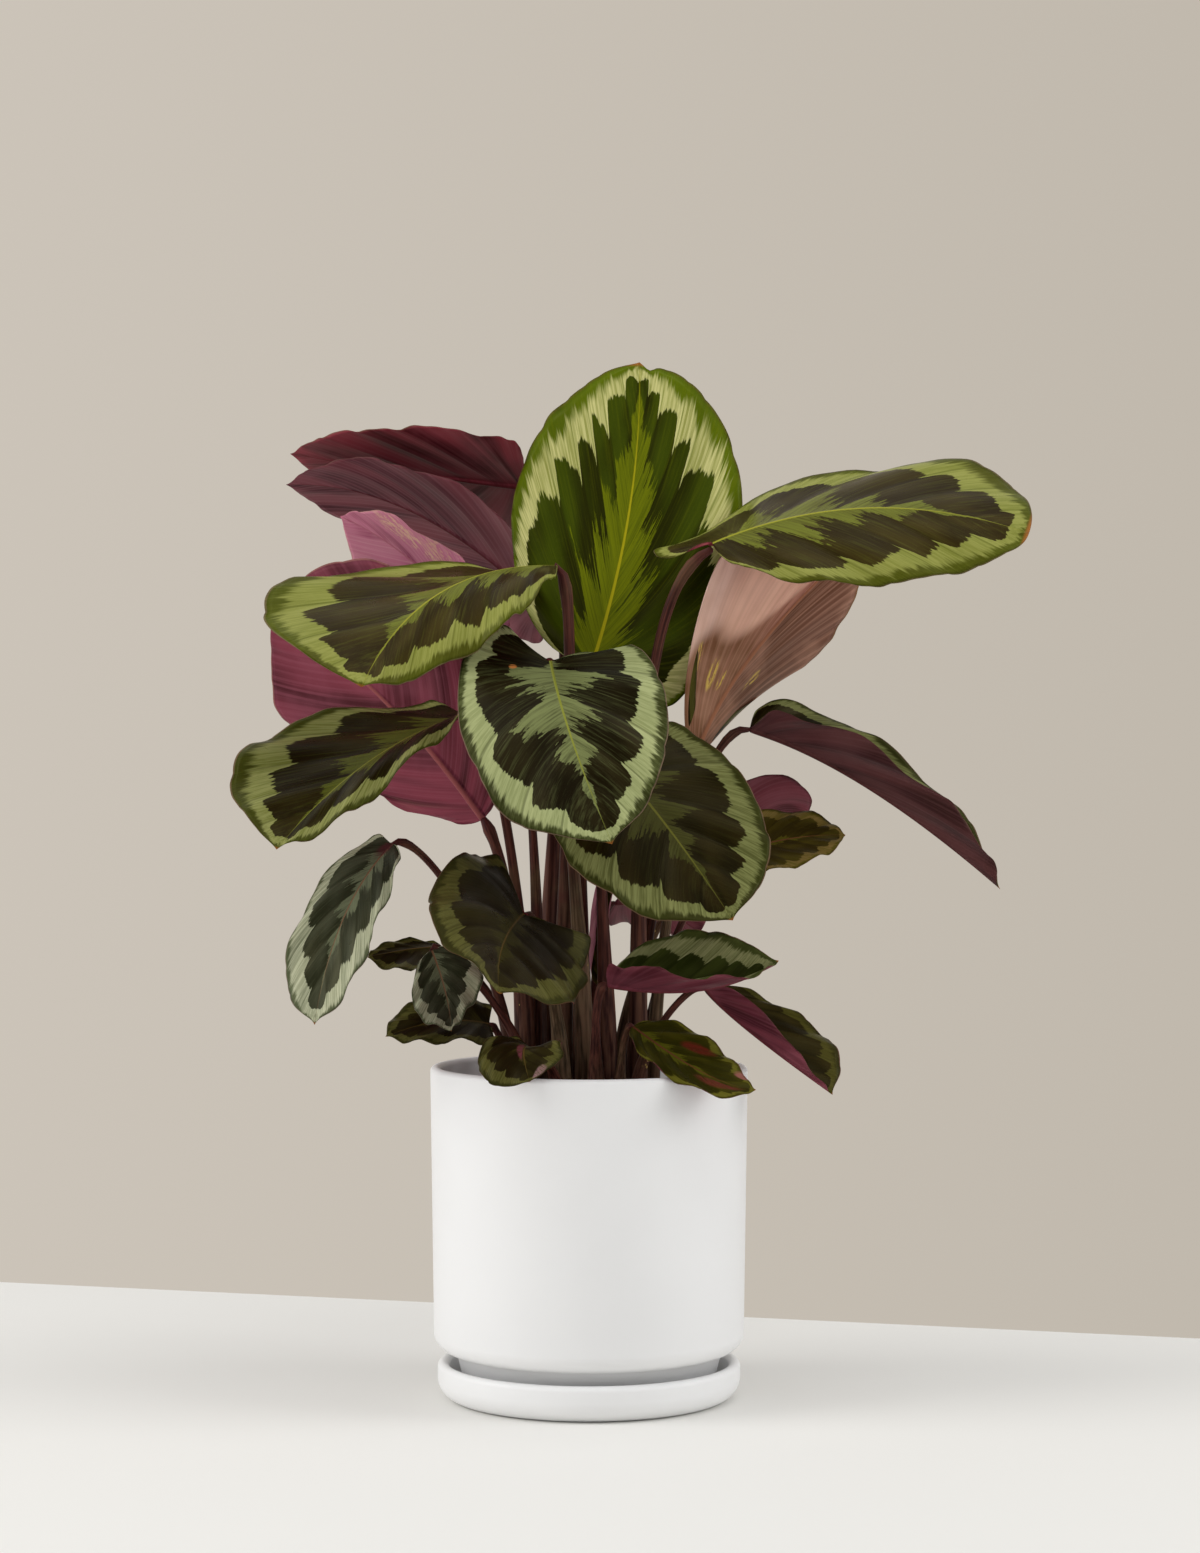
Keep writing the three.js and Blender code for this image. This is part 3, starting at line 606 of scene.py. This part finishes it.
class Nodes:
    """Short ways to add nodes to a node tree and join them."""

    def __init__(self, tree):
        self.tree = tree

    def plug(self, socket, value):
        if isinstance(value, bpy.types.NodeSocket):
            self.tree.links.new(value, socket)
        else:
            socket.default_value = value

    def node(self, kind, *values, **settings):
        made = self.tree.nodes.new("ShaderNode" + kind)
        for key, value in settings.items():
            setattr(made, key, value)
        for socket, value in zip(made.inputs, values):
            if value is not None:
                self.plug(socket, value)
        return made

    def math(self, operation, *values):
        return self.node("Math", *values, operation=operation).outputs[0]

    def chain(self, operation, values):
        total = values[0]
        for value in values[1:]:
            total = self.math(operation, total, value)
        return total

    def times(self, *values):
        return self.chain("MULTIPLY", values)

    def plus(self, *values):
        return self.chain("ADD", values)

    def less(self, first, second):
        return self.math("SUBTRACT", first, second)

    def step(self, value, low, high, first=0.0, last=1.0):
        made = self.node("MapRange", value, low, high, first, last, interpolation_type="SMOOTHSTEP")
        return made.outputs[0]

    def mix(self, share, first, second):
        """From the first colour to the second, each a socket or a colour of 0 to 255 a channel."""
        made = self.node("Mix", share, data_type="RGBA")
        for socket, colour in ((made.inputs[6], first), (made.inputs[7], second)):
            self.plug(socket, linear(colour) if isinstance(colour, tuple) else colour)
        return made.outputs[2]

    def vector(self, x, y, z=0.0):
        return self.node("CombineXYZ", x, y, z).outputs[0]

    def noise(self, place, scale=1.0, detail=2.0, roughness=0.5):
        return self.node("TexNoise", place, None, scale, detail, roughness).outputs[0]

    def trait(self, name):
        return self.node("Attribute", attribute_name=name).outputs["Fac"]

    def uv(self):
        return self.node("SeparateXYZ", self.node("UVMap", uv_map="UVMap").outputs[0]).outputs

    def object_place(self):
        return self.node("TexCoord").outputs["Object"]

    def bump(self, height, distance, strength=1.0, normal=None):
        made = self.node("Bump")
        sockets = dict(Strength=strength, Distance=distance, Height=height, Normal=normal)
        for key, value in sockets.items():
            if value is not None:
                self.plug(made.inputs[key], value)
        return made.outputs[0]


class Shader(Nodes):
    """A material with a Principled shader."""

    def __init__(self, name, **settings):
        self.material = bpy.data.materials.new(name)
        self.material.use_nodes = True
        super().__init__(self.material.node_tree)
        self.surface = self.tree.nodes["Principled BSDF"]
        for key, value in settings.items():
            self.set(key.replace("_", " "), value)

    def set(self, key, value):
        self.plug(self.surface.inputs[key], value)

    def paint(self, share, colour):
        """Lays a colour over the one the surface has so far."""
        self.colour = self.mix(share, self.colour, colour)


class BladeShader(Shader):
    """A blade's shader, which knows where on the blade a point lies."""

    def __init__(self, name, **settings):
        super().__init__(name, **settings)
        self.q, row = self.uv()[:2]
        self.sigma = self.less(self.times(row, 2.0), 1.0)
        self.across = self.math("POWER", self.math("ABSOLUTE", self.sigma), ROW_CROWDING)
        right = self.math("LESS_THAN", self.sigma, 0.0)
        self.seed = self.plus(self.times(self.trait("seed"), 3.7), self.times(right, 1.3))
        self.turn = self.trait("turn")
        self.share = self.math("FRACT", self.turn)
        self.rib = self.trait("rib")
        self.along = self.trait("along")
        tip = self.less(1.0, self.times(self.less(1.0, self.along), TIP_ZONE))
        self.zone = self.math("SMOOTH_MAX", self.across, tip, 0.1)
        dice = self.node("TexWhiteNoise", noise_dimensions="2D")
        whole = self.math("FLOOR", self.turn)
        self.plug(dice.inputs["Vector"], self.vector(whole, self.seed))
        self.luck = dice.outputs["Value"]

    def streaks(self, crossing, running, detail=2.0, roughness=0.6, shift=0.0, inner=False):
        """Noise drawn out along the side veins. crossing is its cycles from base to tip, counted
        along the margin, or for inner ones the cycles in a lobe; running its cycles across."""
        way = self.turn if inner else self.q
        place = self.vector(
            self.times(way, crossing), self.times(self.across, running), self.plus(self.seed, shift)
        )
        return self.noise(place, detail=detail, roughness=roughness)

    def spot(self, q, sigma, long, wide):
        """1 at a place on the blade, and 0 further from it than long and wide."""
        along = self.math("DIVIDE", self.less(self.q, q), long)
        beside = self.math("DIVIDE", self.less(self.sigma, sigma), wide)
        far = self.plus(self.times(along, along), self.times(beside, beside))
        return self.step(far, 0.3, 1.0, 1.0, 0.0)


class UpperShader(BladeShader):
    """The shader of an upper side, with the streaks that fray its zones along the side veins."""

    def __init__(self, name, **settings):
        super().__init__(name, **settings)
        self.spike = self.less(self.streaks(115, 3.2, detail=3, roughness=0.65), 0.5)
        self.barb = self.less(self.streaks(46, 3.5, shift=21), 0.5)
        self.outer = self.streaks(150, 2.2, detail=3, roughness=0.7, shift=5)
        self.inner = self.streaks(16, 2.2, detail=3, roughness=0.7, shift=5, inner=True)
        self.slow = self.less(self.streaks(7, 2, detail=1, shift=9), 0.5)
        rounded = self.less(1.0, self.times(self.share, self.share, 0.75))
        self.hump = self.times(self.step(self.share, 0.0, 0.2), rounded)


def in_flames(sh, look):
    """1 in the light green flames that run out from the midrib, one in each lobe."""
    fray = sh.less(sh.streaks(9, 4.0, detail=3, roughness=0.65, shift=11, inner=True), 0.5)
    tuft = sh.less(sh.streaks(26, 5.0, shift=17, inner=True), 0.5)
    fall = sh.step(sh.along, look.get("fall", FLAME_FALL), 0.97, 1.0, 0.0)
    stretch = sh.times(sh.step(sh.along, -0.02, 0.14), fall)
    flame = sh.times(sh.step(sh.share, 0.0, 0.22), sh.math("POWER", sh.less(1.0, sh.share), 1.2))
    flame = sh.times(flame, sh.plus(0.8, sh.times(sh.luck, 0.6)))
    reach = look.get("flame", FLAME_REACH)
    plume = sh.plus(1.0 - reach, sh.times(flame, reach), sh.times(fray, 1.5), sh.times(tuft, 0.7))
    plume = sh.times(look["feather"], stretch, plume)
    gauge = sh.trait("beside") if look.get("upright") else sh.across
    return sh.step(sh.less(plume, gauge), -0.006, 0.012)


def in_dark_zone(sh, look):
    """1 in the dark zone, whose outer edge is lobed and frayed."""
    dark = sh.plus(look["dark"] - 0.12, sh.times(sh.hump, 0.17), sh.times(sh.slow, 0.16))
    dark = sh.plus(dark, sh.times(sh.spike, 0.13), sh.times(sh.barb, 0.08))
    return sh.step(sh.less(dark, sh.zone), -0.006, 0.01)


def in_margin(sh, look):
    """1 in the green margin outside the pale band."""
    edge = sh.plus(look["edge"], sh.times(sh.spike, 0.2), sh.times(sh.barb, 0.16))
    return sh.step(sh.less(sh.zone, sh.plus(edge, sh.times(sh.slow, 0.08))), -0.035, 0.035)


def upper_tones(sh, look):
    """The streaked colours of the dark zone, the flames, the pale band and the margin."""
    joint = sh.math("MINIMUM", sh.share, sh.less(1.0, sh.share))
    vein = sh.step(joint, 0.012, 0.035, 1.0, 0.0)
    tone = sh.plus(sh.times(sh.hump, 0.55), sh.times(sh.slow, 1.6), sh.times(sh.luck, 0.3))
    ground = sh.mix(sh.step(tone, 0.25, 0.95), look["ground"], look["tint"])
    ground = sh.mix(sh.times(sh.step(sh.outer, 0.45, 0.75), 0.2), ground, look["plume"])
    fade = sh.plus(sh.times(sh.step(sh.inner, 0.6, 0.34), 0.45), sh.times(sh.share, 0.25))
    plume = sh.mix(fade, look["plume"], look["tint"])
    # Towards the end of each lobe the pale band fades to the flames' green: painted shade of the
    # pleats, over streaks of its own.
    fade = sh.plus(sh.times(sh.step(sh.outer, 0.62, 0.38), 0.5), sh.times(sh.share, sh.share, 0.28))
    pale = sh.mix(fade, look["pale"], look["plume"])
    pale = sh.mix(sh.times(vein, 0.45), pale, look["rim"])
    rim = sh.mix(sh.times(sh.step(sh.outer, 0.4, 0.7), 0.35), look["rim"], look["plume"])
    rim = sh.mix(sh.step(sh.slow, -0.15, 0.15, 0.35, 0.0), rim, look["tint"])
    return ground, plume, pale, rim


def upper_material(name, look):
    """Green upper side: light green flames along the midrib, a dark zone in lobes, a streaked pale
    band and a green margin, with a light midrib and a brown line at the very edge and tip."""
    sh = UpperShader(name, IOR=1.45, Specular_IOR_Level=LEAF_SHEEN, Specular_Tint=SHEEN_TINT)
    ground, plume, pale, rim = upper_tones(sh, look)
    is_margin = in_margin(sh, look)
    sh.colour = sh.mix(is_margin, pale, rim)
    sh.paint(in_dark_zone(sh, look), ground)
    sh.paint(sh.times(in_flames(sh, look), sh.step(sh.inner, 0.2, 0.42, 0.7, 1.0)), plume)
    is_rib = sh.times(sh.step(sh.rib, 0.45, 0.7), sh.step(sh.along, 0.5, 0.97, 1.0, 0.35))
    sh.paint(is_rib, look["rib"])
    sh.paint(sh.step(sh.zone, 0.985, 0.996, 0.0, 0.8), look["line"])
    sh.paint(sh.step(sh.along, 0.982, 0.996, 0.0, 0.95), BROWNED_TIP)
    for *where, tint in look.get("marks", []):
        sh.paint(sh.times(sh.spot(*where), sh.step(sh.outer, 0.36, 0.5)), tint)
    sh.set("Base Color", sh.colour)

    fine = sh.streaks(210, 1.2, detail=1, shift=14)
    cells = sh.noise(sh.object_place(), 1500.0, 1.0)
    normal = sh.bump(sh.plus(fine, sh.times(sh.outer, 0.6)), 0.0002, 0.5)
    sh.set("Normal", sh.bump(cells, 0.00005, 0.3, normal))
    gloss = sh.step(sh.noise(sh.object_place(), 60.0, 2.0), 0.3, 0.7, 0.26, 0.36)
    sh.set("Roughness", sh.plus(gloss, sh.times(is_margin, 0.03)))
    return sh.material


def under_material(name, look):
    """Purple underside: a low pillow between each two side veins, fine stripes and a thick midrib."""
    sh = BladeShader(name, IOR=1.45, Specular_IOR_Level=LEAF_SHEEN, Specular_Tint=SHEEN_TINT)
    swell = sh.math("SINE", sh.times(sh.share, math.pi))
    fine = sh.streaks(130, 1.0, shift=3)
    broad = sh.streaks(9, 0.8, detail=1, shift=7)
    cloud = sh.noise(sh.object_place(), 30.0, 3.0)
    # Darker along the side veins and lighter on the pillows between them: painted shade of the pleats,
    # laid over broad streaks and a random tone per lobe that are the leaf's own.
    shade = sh.plus(broad, sh.times(swell, 0.12), sh.times(sh.luck, 0.08))
    sh.colour = sh.mix(sh.step(shade, 0.42, 0.72), look["groove"], look["skin"])
    if "foot" in look:
        foot = sh.times(sh.step(sh.along, 0.3, 0.75, 0.95, 0.0), sh.step(fine, 0.3, 0.6, 0.7, 1.0))
        sh.paint(foot, look["foot"])
    # Broad soft patches of painted highlight and painted shade.
    for *where, tint in look.get("painted_light_and_shade", []):
        sh.paint(sh.times(sh.spot(*where), 0.85), tint)
    stripe = sh.math("SINE", sh.times(sh.turn, look.get("stripes", FINE_STRIPES) * 2 * math.pi))
    stripe = sh.times(sh.step(stripe, 0.1, 0.95), look["striped"])
    sh.paint(stripe, look["vein"])
    sh.paint(sh.times(sh.step(fine, 0.45, 0.7), 0.22), look["vein"])
    sh.paint(sh.times(sh.step(cloud, 0.45, 0.7), 0.3), look["vein"])
    for *where, tint in look.get("marks", []):
        mottle = sh.step(sh.streaks(60, 9, detail=4, roughness=0.75, shift=31), 0.47, 0.6)
        sh.paint(sh.times(sh.spot(*where), mottle), tint)
    sh.paint(sh.step(sh.rib, 0.05, 0.4, 0.0, 0.85), look["rib"])
    sh.paint(sh.step(sh.across, 0.985, 0.996, 0.0, 0.7), look["line"])
    sh.set("Base Color", sh.colour)
    cells = sh.noise(sh.object_place(), 1300.0, 1.0)
    normal = sh.bump(sh.plus(sh.times(fine, 0.5), sh.times(stripe, 0.6)), 0.0002, 0.5)
    sh.set("Normal", sh.bump(cells, 0.00005, 0.3, normal))
    sh.set("Roughness", sh.step(cloud, 0.3, 0.7, 0.4, 0.52))
    return sh.material


def petiole_material():
    """Maroon-brown stalks: streaks along them, a lighter sheath and a few small yellow dots."""
    sh = Shader("petiole_skin", IOR=1.45, Specular_IOR_Level=LEAF_SHEEN)
    turn, height = sh.uv()[:2]
    seed = sh.times(sh.trait("seed"), 2.9)
    around = sh.times(turn, 2 * math.pi)
    ring = sh.times(sh.math("COSINE", around), 1.2)
    rung = sh.times(sh.math("SINE", around), 1.2)
    streak = sh.noise(sh.vector(sh.plus(ring, seed), rung, sh.times(height, 5.0)), 2.2, 3.0)
    patch = sh.noise(sh.object_place(), 42.0, 3.0)
    maroon = sh.mix(sh.step(streak, 0.28, 0.76), *STALK_MAROON)
    olive = sh.mix(sh.step(streak, 0.28, 0.76), *STALK_OLIVE)
    kind = sh.math("FRACT", sh.times(seed, 0.53))
    is_olive = sh.step(sh.plus(kind, sh.times(patch, 0.6)), 0.95, 1.2)
    is_olive = sh.times(is_olive, sh.step(height, 0.55, 0.85, 1.0, 0.2))
    sh.colour = sh.mix(is_olive, maroon, olive)
    sh.paint(sh.times(sh.step(patch, 0.5, 0.72), 0.4), STALK_PATCH)
    low = sh.step(height, 0.1, 0.5, 0.6, 0.0)
    sh.paint(sh.times(low, sh.step(streak, 0.3, 0.7)), STALK_SHEATH)
    sh.paint(sh.step(height, 0.93, 0.98, 0.0, 0.6), STALK_TOP)
    cells = sh.node("TexVoronoi", sh.object_place(), None, 260.0).outputs["Distance"]
    rare = sh.step(sh.noise(sh.object_place(), 55.0, 1.0), 0.68, 0.72)
    dot = sh.times(sh.step(cells, 0.24, 0.16), rare)
    sh.paint(dot, STALK_DOT)
    sh.set("Base Color", sh.colour)
    sh.set("Roughness", sh.step(patch, 0.3, 0.7, 0.38, 0.52))
    sh.set("Normal", sh.bump(streak, 0.0004, 0.4))
    return sh.material


def ceramic_material(name, tone):
    """Satin white glaze: slightly uneven, with a few pinholes and a faint warm tone in them."""
    sh = Shader(name, IOR=1.5)
    place = sh.object_place()
    slow = sh.noise(place, 9.0, 2.0)
    fine = sh.noise(place, 420.0, 2.0)
    cells = sh.node("TexVoronoi", place, None, 30.0).outputs["Distance"]
    pinhole = sh.step(cells, 0.035, 0.015)
    warm = tuple(c - 4 for c in tone)
    sh.colour = sh.mix(sh.step(slow, 0.35, 0.7), tone, warm)
    sh.paint(sh.times(pinhole, 0.6), GLAZE_PINHOLE)
    sh.set("Base Color", sh.colour)
    sh.set("Roughness", sh.step(slow, 0.3, 0.7, 0.42, 0.5))
    height = sh.less(sh.plus(sh.times(slow, 0.6), sh.times(fine, 0.05)), sh.times(pinhole, 0.4))
    sh.set("Normal", sh.bump(height, 0.0006, 0.25))
    return sh.material


def soil_material():
    """Dark potting mix: clods with finer, lighter grains."""
    sh = Shader("potting_mix", Roughness=0.9)
    place = sh.object_place()
    clod = sh.noise(place, 160.0, 5.0, 0.65)
    grain = sh.noise(place, 900.0, 3.0, 0.6)
    sh.colour = sh.mix(sh.step(clod, 0.36, 0.66), *SOIL_TONES)
    sh.paint(sh.step(grain, 0.62, 0.72, 0.0, 0.6), SOIL_GRAIN)
    sh.set("Base Color", sh.colour)
    sh.set("Normal", sh.bump(sh.plus(clod, sh.times(grain, 0.5)), 0.003, 0.9))
    return sh.material


def crumb_material():
    """Bark crumbs, brown to tan, with a few grains of white perlite among them."""
    sh = Shader("bark_crumb", Roughness=0.85)
    seed = sh.trait("seed")
    grain = sh.noise(sh.object_place(), 700.0, 4.0, 0.6)
    sh.colour = sh.mix(sh.step(seed, 0.0, 0.9), *BARK_TONES)
    sh.paint(sh.step(grain, 0.4, 0.7, 0.0, 0.6), BARK_STAIN)
    sh.paint(sh.math("GREATER_THAN", seed, 0.94), PERLITE)
    sh.set("Base Color", sh.colour)
    sh.set("Normal", sh.bump(grain, 0.0006, 0.8))
    return sh.material


def arc(x, z, radius, start, end, steps):
    """Points of a profile on a circle about x and z, from one angle in degrees to another."""
    angles = np.radians(np.linspace(start, end, steps + 1))
    return [(x + radius * math.cos(a), z + radius * math.sin(a)) for a in angles]


def turned_piece(name, profile, material, node):
    """A closed profile turned about the upright axis."""
    corners = np.array([*profile, profile[0]])
    rows = len(corners) - 1

    def place(u, v):
        at = v * rows
        radius = np.interp(at, np.arange(rows + 1), corners[:, 0])
        height = np.interp(at, np.arange(rows + 1), corners[:, 1])
        angle = 2 * np.pi * (u % 1)
        return np.stack([radius * np.cos(angle), radius * np.sin(angle), height], axis=-1)

    bm = bmesh.new()
    wrapped_grid(bm, TURNED_STEPS, rows, place)
    finished_piece(name, bm, [material], [node])


def pot_profile():
    foot = SAUCER_FLOOR + SEAT_GAP
    ring = FOOT_RADIUS - FOOT_RING_WIDTH
    lip = WALL / 2
    return [
        (DRAIN_RADIUS, POT_FLOOR - DRAIN_EASE),
        (DRAIN_RADIUS, foot + FOOT_RECESS + DRAIN_EASE),
        (ring - EDGE, foot + FOOT_RECESS),
        (ring, foot + FOOT_RECESS - EDGE),
        (ring + 0.4, foot),
        (FOOT_RADIUS - EDGE, foot),
        (FOOT_RADIUS, foot + EDGE),
        (FOOT_TOP_RADIUS - 0.5, BODY_LOW - 1.5),
        (FOOT_TOP_RADIUS + 0.8, BODY_LOW - 0.1),
        *arc(BODY_FOOT_RADIUS - BODY_CORNER, BODY_LOW + BODY_CORNER, BODY_CORNER, -88, 0, 16),
        *arc(RIM_RADIUS - lip, RIM_HEIGHT - lip, lip, 0, 180, 16),
        (BODY_FOOT_RADIUS - WALL, BODY_LOW + BODY_CORNER),
        (FOOT_RADIUS - WALL, POT_FLOOR),
    ]


def saucer_profile():
    inner = SAUCER_RADIUS - SAUCER_LIP
    lip = SAUCER_LIP / 2
    corner = SAUCER_RADIUS - SAUCER_BASE_RADIUS
    hollow = SAUCER_INNER_CORNER
    return [
        (0, 0),
        (SAUCER_BASE_RADIUS - EDGE, 0),
        *arc(SAUCER_BASE_RADIUS, corner, corner, -72, 0, 14),
        *arc(SAUCER_RADIUS - lip, SAUCER_HEIGHT - lip, lip, 0, 180, 14),
        *arc(inner - hollow, SAUCER_FLOOR + hollow, hollow, 0, -90, 8),
        (0, SAUCER_FLOOR),
    ]


def petiole_radius(leaf):
    """The petiole's radius by how far up it is: a broad sheath low down, and slim above it."""
    slim = petiole_slimness(leaf)
    sheath = slim + SHEATH_EXTRA + sum(leaf["half"]) * SHEATH_GROWTH
    return lambda t: slim + (sheath - slim) * (1 - smoothstep(t, 0.1, 0.65))


def petiole_path(leaf):
    """The stalk's run, from its root in the soil to just behind the blade."""
    ground = np.array([*leaf["root"], SOIL_TOP + STALK_START])
    start = midrib_of(leaf).tangent(0.0)
    end = np.array(leaf["base"], dtype=float) - start * SEAT_GAP
    end = end - unit(np.array(leaf["face"], dtype=float)) * leaf["drop"]
    rise = np.linalg.norm(end - ground)
    bend = ground + np.array([0, 0, rise * STALK_LEAN])
    return Path(ground, bend, end - start * rise * leaf["neck"], end)


def inner_side(leaf, path):
    """The way from the stalk towards the middle of the plant, by how far up it is. It is carried
    along the stalk step by step, so that it never turns over."""
    steps = np.linspace(0, 1, STALK_CARRY_STEPS)
    inward = -unit(np.array([*leaf["root"], 1e-3]))
    carried = []
    for along in path.tangent(steps):
        inward = unit(inward - along * np.dot(inward, along))
        carried.append(inward)
    carried = np.array(carried)
    return lambda t: np.stack([np.interp(t, steps, row) for row in carried.T], axis=-1)


def petiole_surface(leaf):
    """The stalk, with a clasping sheath low down that is grooved on its inner side, and a slight
    swelling just under the blade. The first rows run down into the soil, and the last row closes
    the blunt tip."""
    path = petiole_path(leaf)
    inner_at = inner_side(leaf, path)
    radius_at = petiole_radius(leaf)
    cap = 1 / STEM_GRID[0]

    def place(u, v):
        t = np.clip((v - BURIED_SHARE) / (1 - BURIED_SHARE - cap), 0, 1)
        along = path.tangent(t)
        centre = path.at(t) + along * np.where(v >= 1, 2 * SEAT_GAP, 0)[..., None]
        sunk = np.maximum(BURIED_SHARE - v, 0) / BURIED_SHARE
        centre[..., 2] -= sunk * (ROOT_DEPTH + STALK_FOOT_SINK)
        first = inner_at(t)
        first = unit(first - along * np.sum(first * along, axis=-1, keepdims=True))
        second = np.cross(along, first)
        angle = 2 * np.pi * (u % 1)
        facing = np.cos(angle)
        clasp = 1 - smoothstep(t, 0.15, 0.6)
        groove = 1 - CLASP_GROOVE * clasp * np.exp(-(((1 - facing) / 0.1) ** 2))
        ridge = 1 + RIDGE_HEIGHT * np.cos(RIDGES * angle + 2)
        swell = 1 + KNEE_SWELL * np.exp(-(((t - KNEE_PLACE) / KNEE_LENGTH) ** 2))
        taper = 1 - END_TAPER * smoothstep(t, 0.965, 1)
        radius = radius_at(t) * groove * ridge * swell * taper
        radius = np.where((v <= 0) | (v >= 1), 0.0, radius)
        return (centre + first * (radius * facing)[..., None]
                + second * (radius * np.sin(angle))[..., None])

    return place


def build_leaf(leaf, uppers, unders, stalk):
    """The blade with its two sides, and its petiole."""
    columns, rows = BROAD_GRID if leaf["fine"] else SMALL_GRID
    blade = Blade(leaf)
    measures = (blade.turn, blade.along, blade.rib, blade.beside)
    traits = {measure.__name__: on_grid(measure) for measure in measures}
    traits["seed"] = float(blade.number)
    bm = bmesh.new()
    wrapped_grid(bm, columns, rows, blade.sheet(1), 0, **traits)
    wrapped_grid(bm, columns, rows, blade.sheet(-1), 1, flip=True, **traits)
    name = leaf["name"]
    looks = [uppers[leaf["upper"]], unders[leaf["under"]]]
    finished_piece(f"{name}_leaf", bm, looks, [f"blade_{name}"], weld=2e-6)

    bm = bmesh.new()
    wrapped_grid(bm, STEM_GRID[1], STEM_GRID[0], petiole_surface(leaf), seed=traits["seed"])
    finished_piece(f"{name}_stalk", bm, [stalk], [f"petiole_{name}"])


def build_crumbs(material):
    """Bark crumbs strewn over the soil, each a small lumpy solid of its own size and turn."""
    bm = bmesh.new()
    seed_layer = bm.verts.layers.float.new("seed")
    for _ in range(CRUMB_COUNT):
        reach = CRUMB_REACH * math.sqrt(random.random())
        angle = random.uniform(0, 2 * math.pi)
        size = random.uniform(*CRUMB_SIZES)
        tone = random.random()
        centre = Vector((reach * math.cos(angle), reach * math.sin(angle), SOIL_TOP + size * 0.2))
        turn = Vector([random.gauss(0, 1) for _ in range(3)]).to_track_quat("X", "Z")
        made = bmesh.ops.create_icosphere(bm, subdivisions=1, radius=1)["verts"]
        for vertex in made:
            lump = size * random.uniform(*CRUMB_LUMPS)
            spot = Vector((vertex.co.x * CRUMB_LENGTH, vertex.co.y, vertex.co.z * CRUMB_HEIGHT)) * lump
            vertex.co = (turn @ spot * 0.6 + centre) * MM
            vertex[seed_layer] = tone
    finished_piece("bark_crumbs", bm, [material], weld=1e-7)


camera = added("camera", bpy.data.cameras.new("camera"))
camera.data.lens = CAMERA_LENS
camera.data.sensor_width = CAMERA_SENSOR
camera.location = CAMERA_PLACE
camera.rotation_euler = (math.radians(90), 0, 0)
bpy.context.scene.camera = camera
bpy.context.scene.view_settings.view_transform = "Standard"

# The plant and its pot
glaze = ceramic_material("white_glaze", POT_WHITE)
saucer_glaze = ceramic_material("saucer_white", SAUCER_WHITE)
turned_piece("glazed_pot", pot_profile(), glaze, "pot")
turned_piece("glazed_saucer", saucer_profile(), saucer_glaze, "saucer")

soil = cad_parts["soil"]
soil.data.materials.clear()
soil.data.materials.append(soil_material())
build_crumbs(crumb_material())

uppers = {name: upper_material(f"upper_{name}", look) for name, look in UPPER_LOOKS.items()}
unders = {name: under_material(f"under_{name}", look) for name, look in UNDER_LOOKS.items()}
stalk = petiole_material()
for leaf in LEAVES:
    build_leaf(leaf, uppers, unders, stalk)

# The table
bm = bmesh.new()
bmesh.ops.create_grid(bm, x_segments=1, y_segments=1, size=0.5)
for vertex in bm.verts:
    x, y = vertex.co.x * TABLE_SIZE[0], (vertex.co.y - 0.5) * TABLE_SIZE[1]
    vertex.co.x = TABLE_EDGE[0] + x * math.cos(TABLE_TURN) - y * math.sin(TABLE_TURN)
    vertex.co.y = TABLE_EDGE[1] + x * math.sin(TABLE_TURN) + y * math.cos(TABLE_TURN)
top = Shader("pale_table", Roughness=0.8)
top.set("Base Color", linear(TABLE_TONE))
added_mesh("table", bm, [top.material])

# The room's light by direction
world = bpy.data.worlds.new("room")
bpy.context.scene.world = world
world.use_nodes = True
room = Nodes(world.node_tree)
way = room.node("SeparateXYZ", room.node("TexCoord").outputs["Generated"])
aside = room.node("MapRange", way.outputs[0], -WALL_SPREAD, WALL_SPREAD).outputs[0]
wall = room.mix(aside, WALL_LEFT, WALL_RIGHT)
light = room.mix(room.step(way.outputs[1], WALL_STARTS, WALL_FULL), ROOM_LIGHT, wall)
room.plug(room.tree.nodes["Background"].inputs["Color"], light)

# The studio lights
for name, place, aim, size, power, colour in LIGHTS:
    lamp = bpy.data.lights.new(name, "AREA")
    lamp.size = size
    lamp.energy = power
    lamp.color = colour
    holder = added(name, lamp)
    holder.location = place
    holder.rotation_euler = (Vector(aim) - Vector(place)).to_track_quat("-Z", "Y").to_euler()
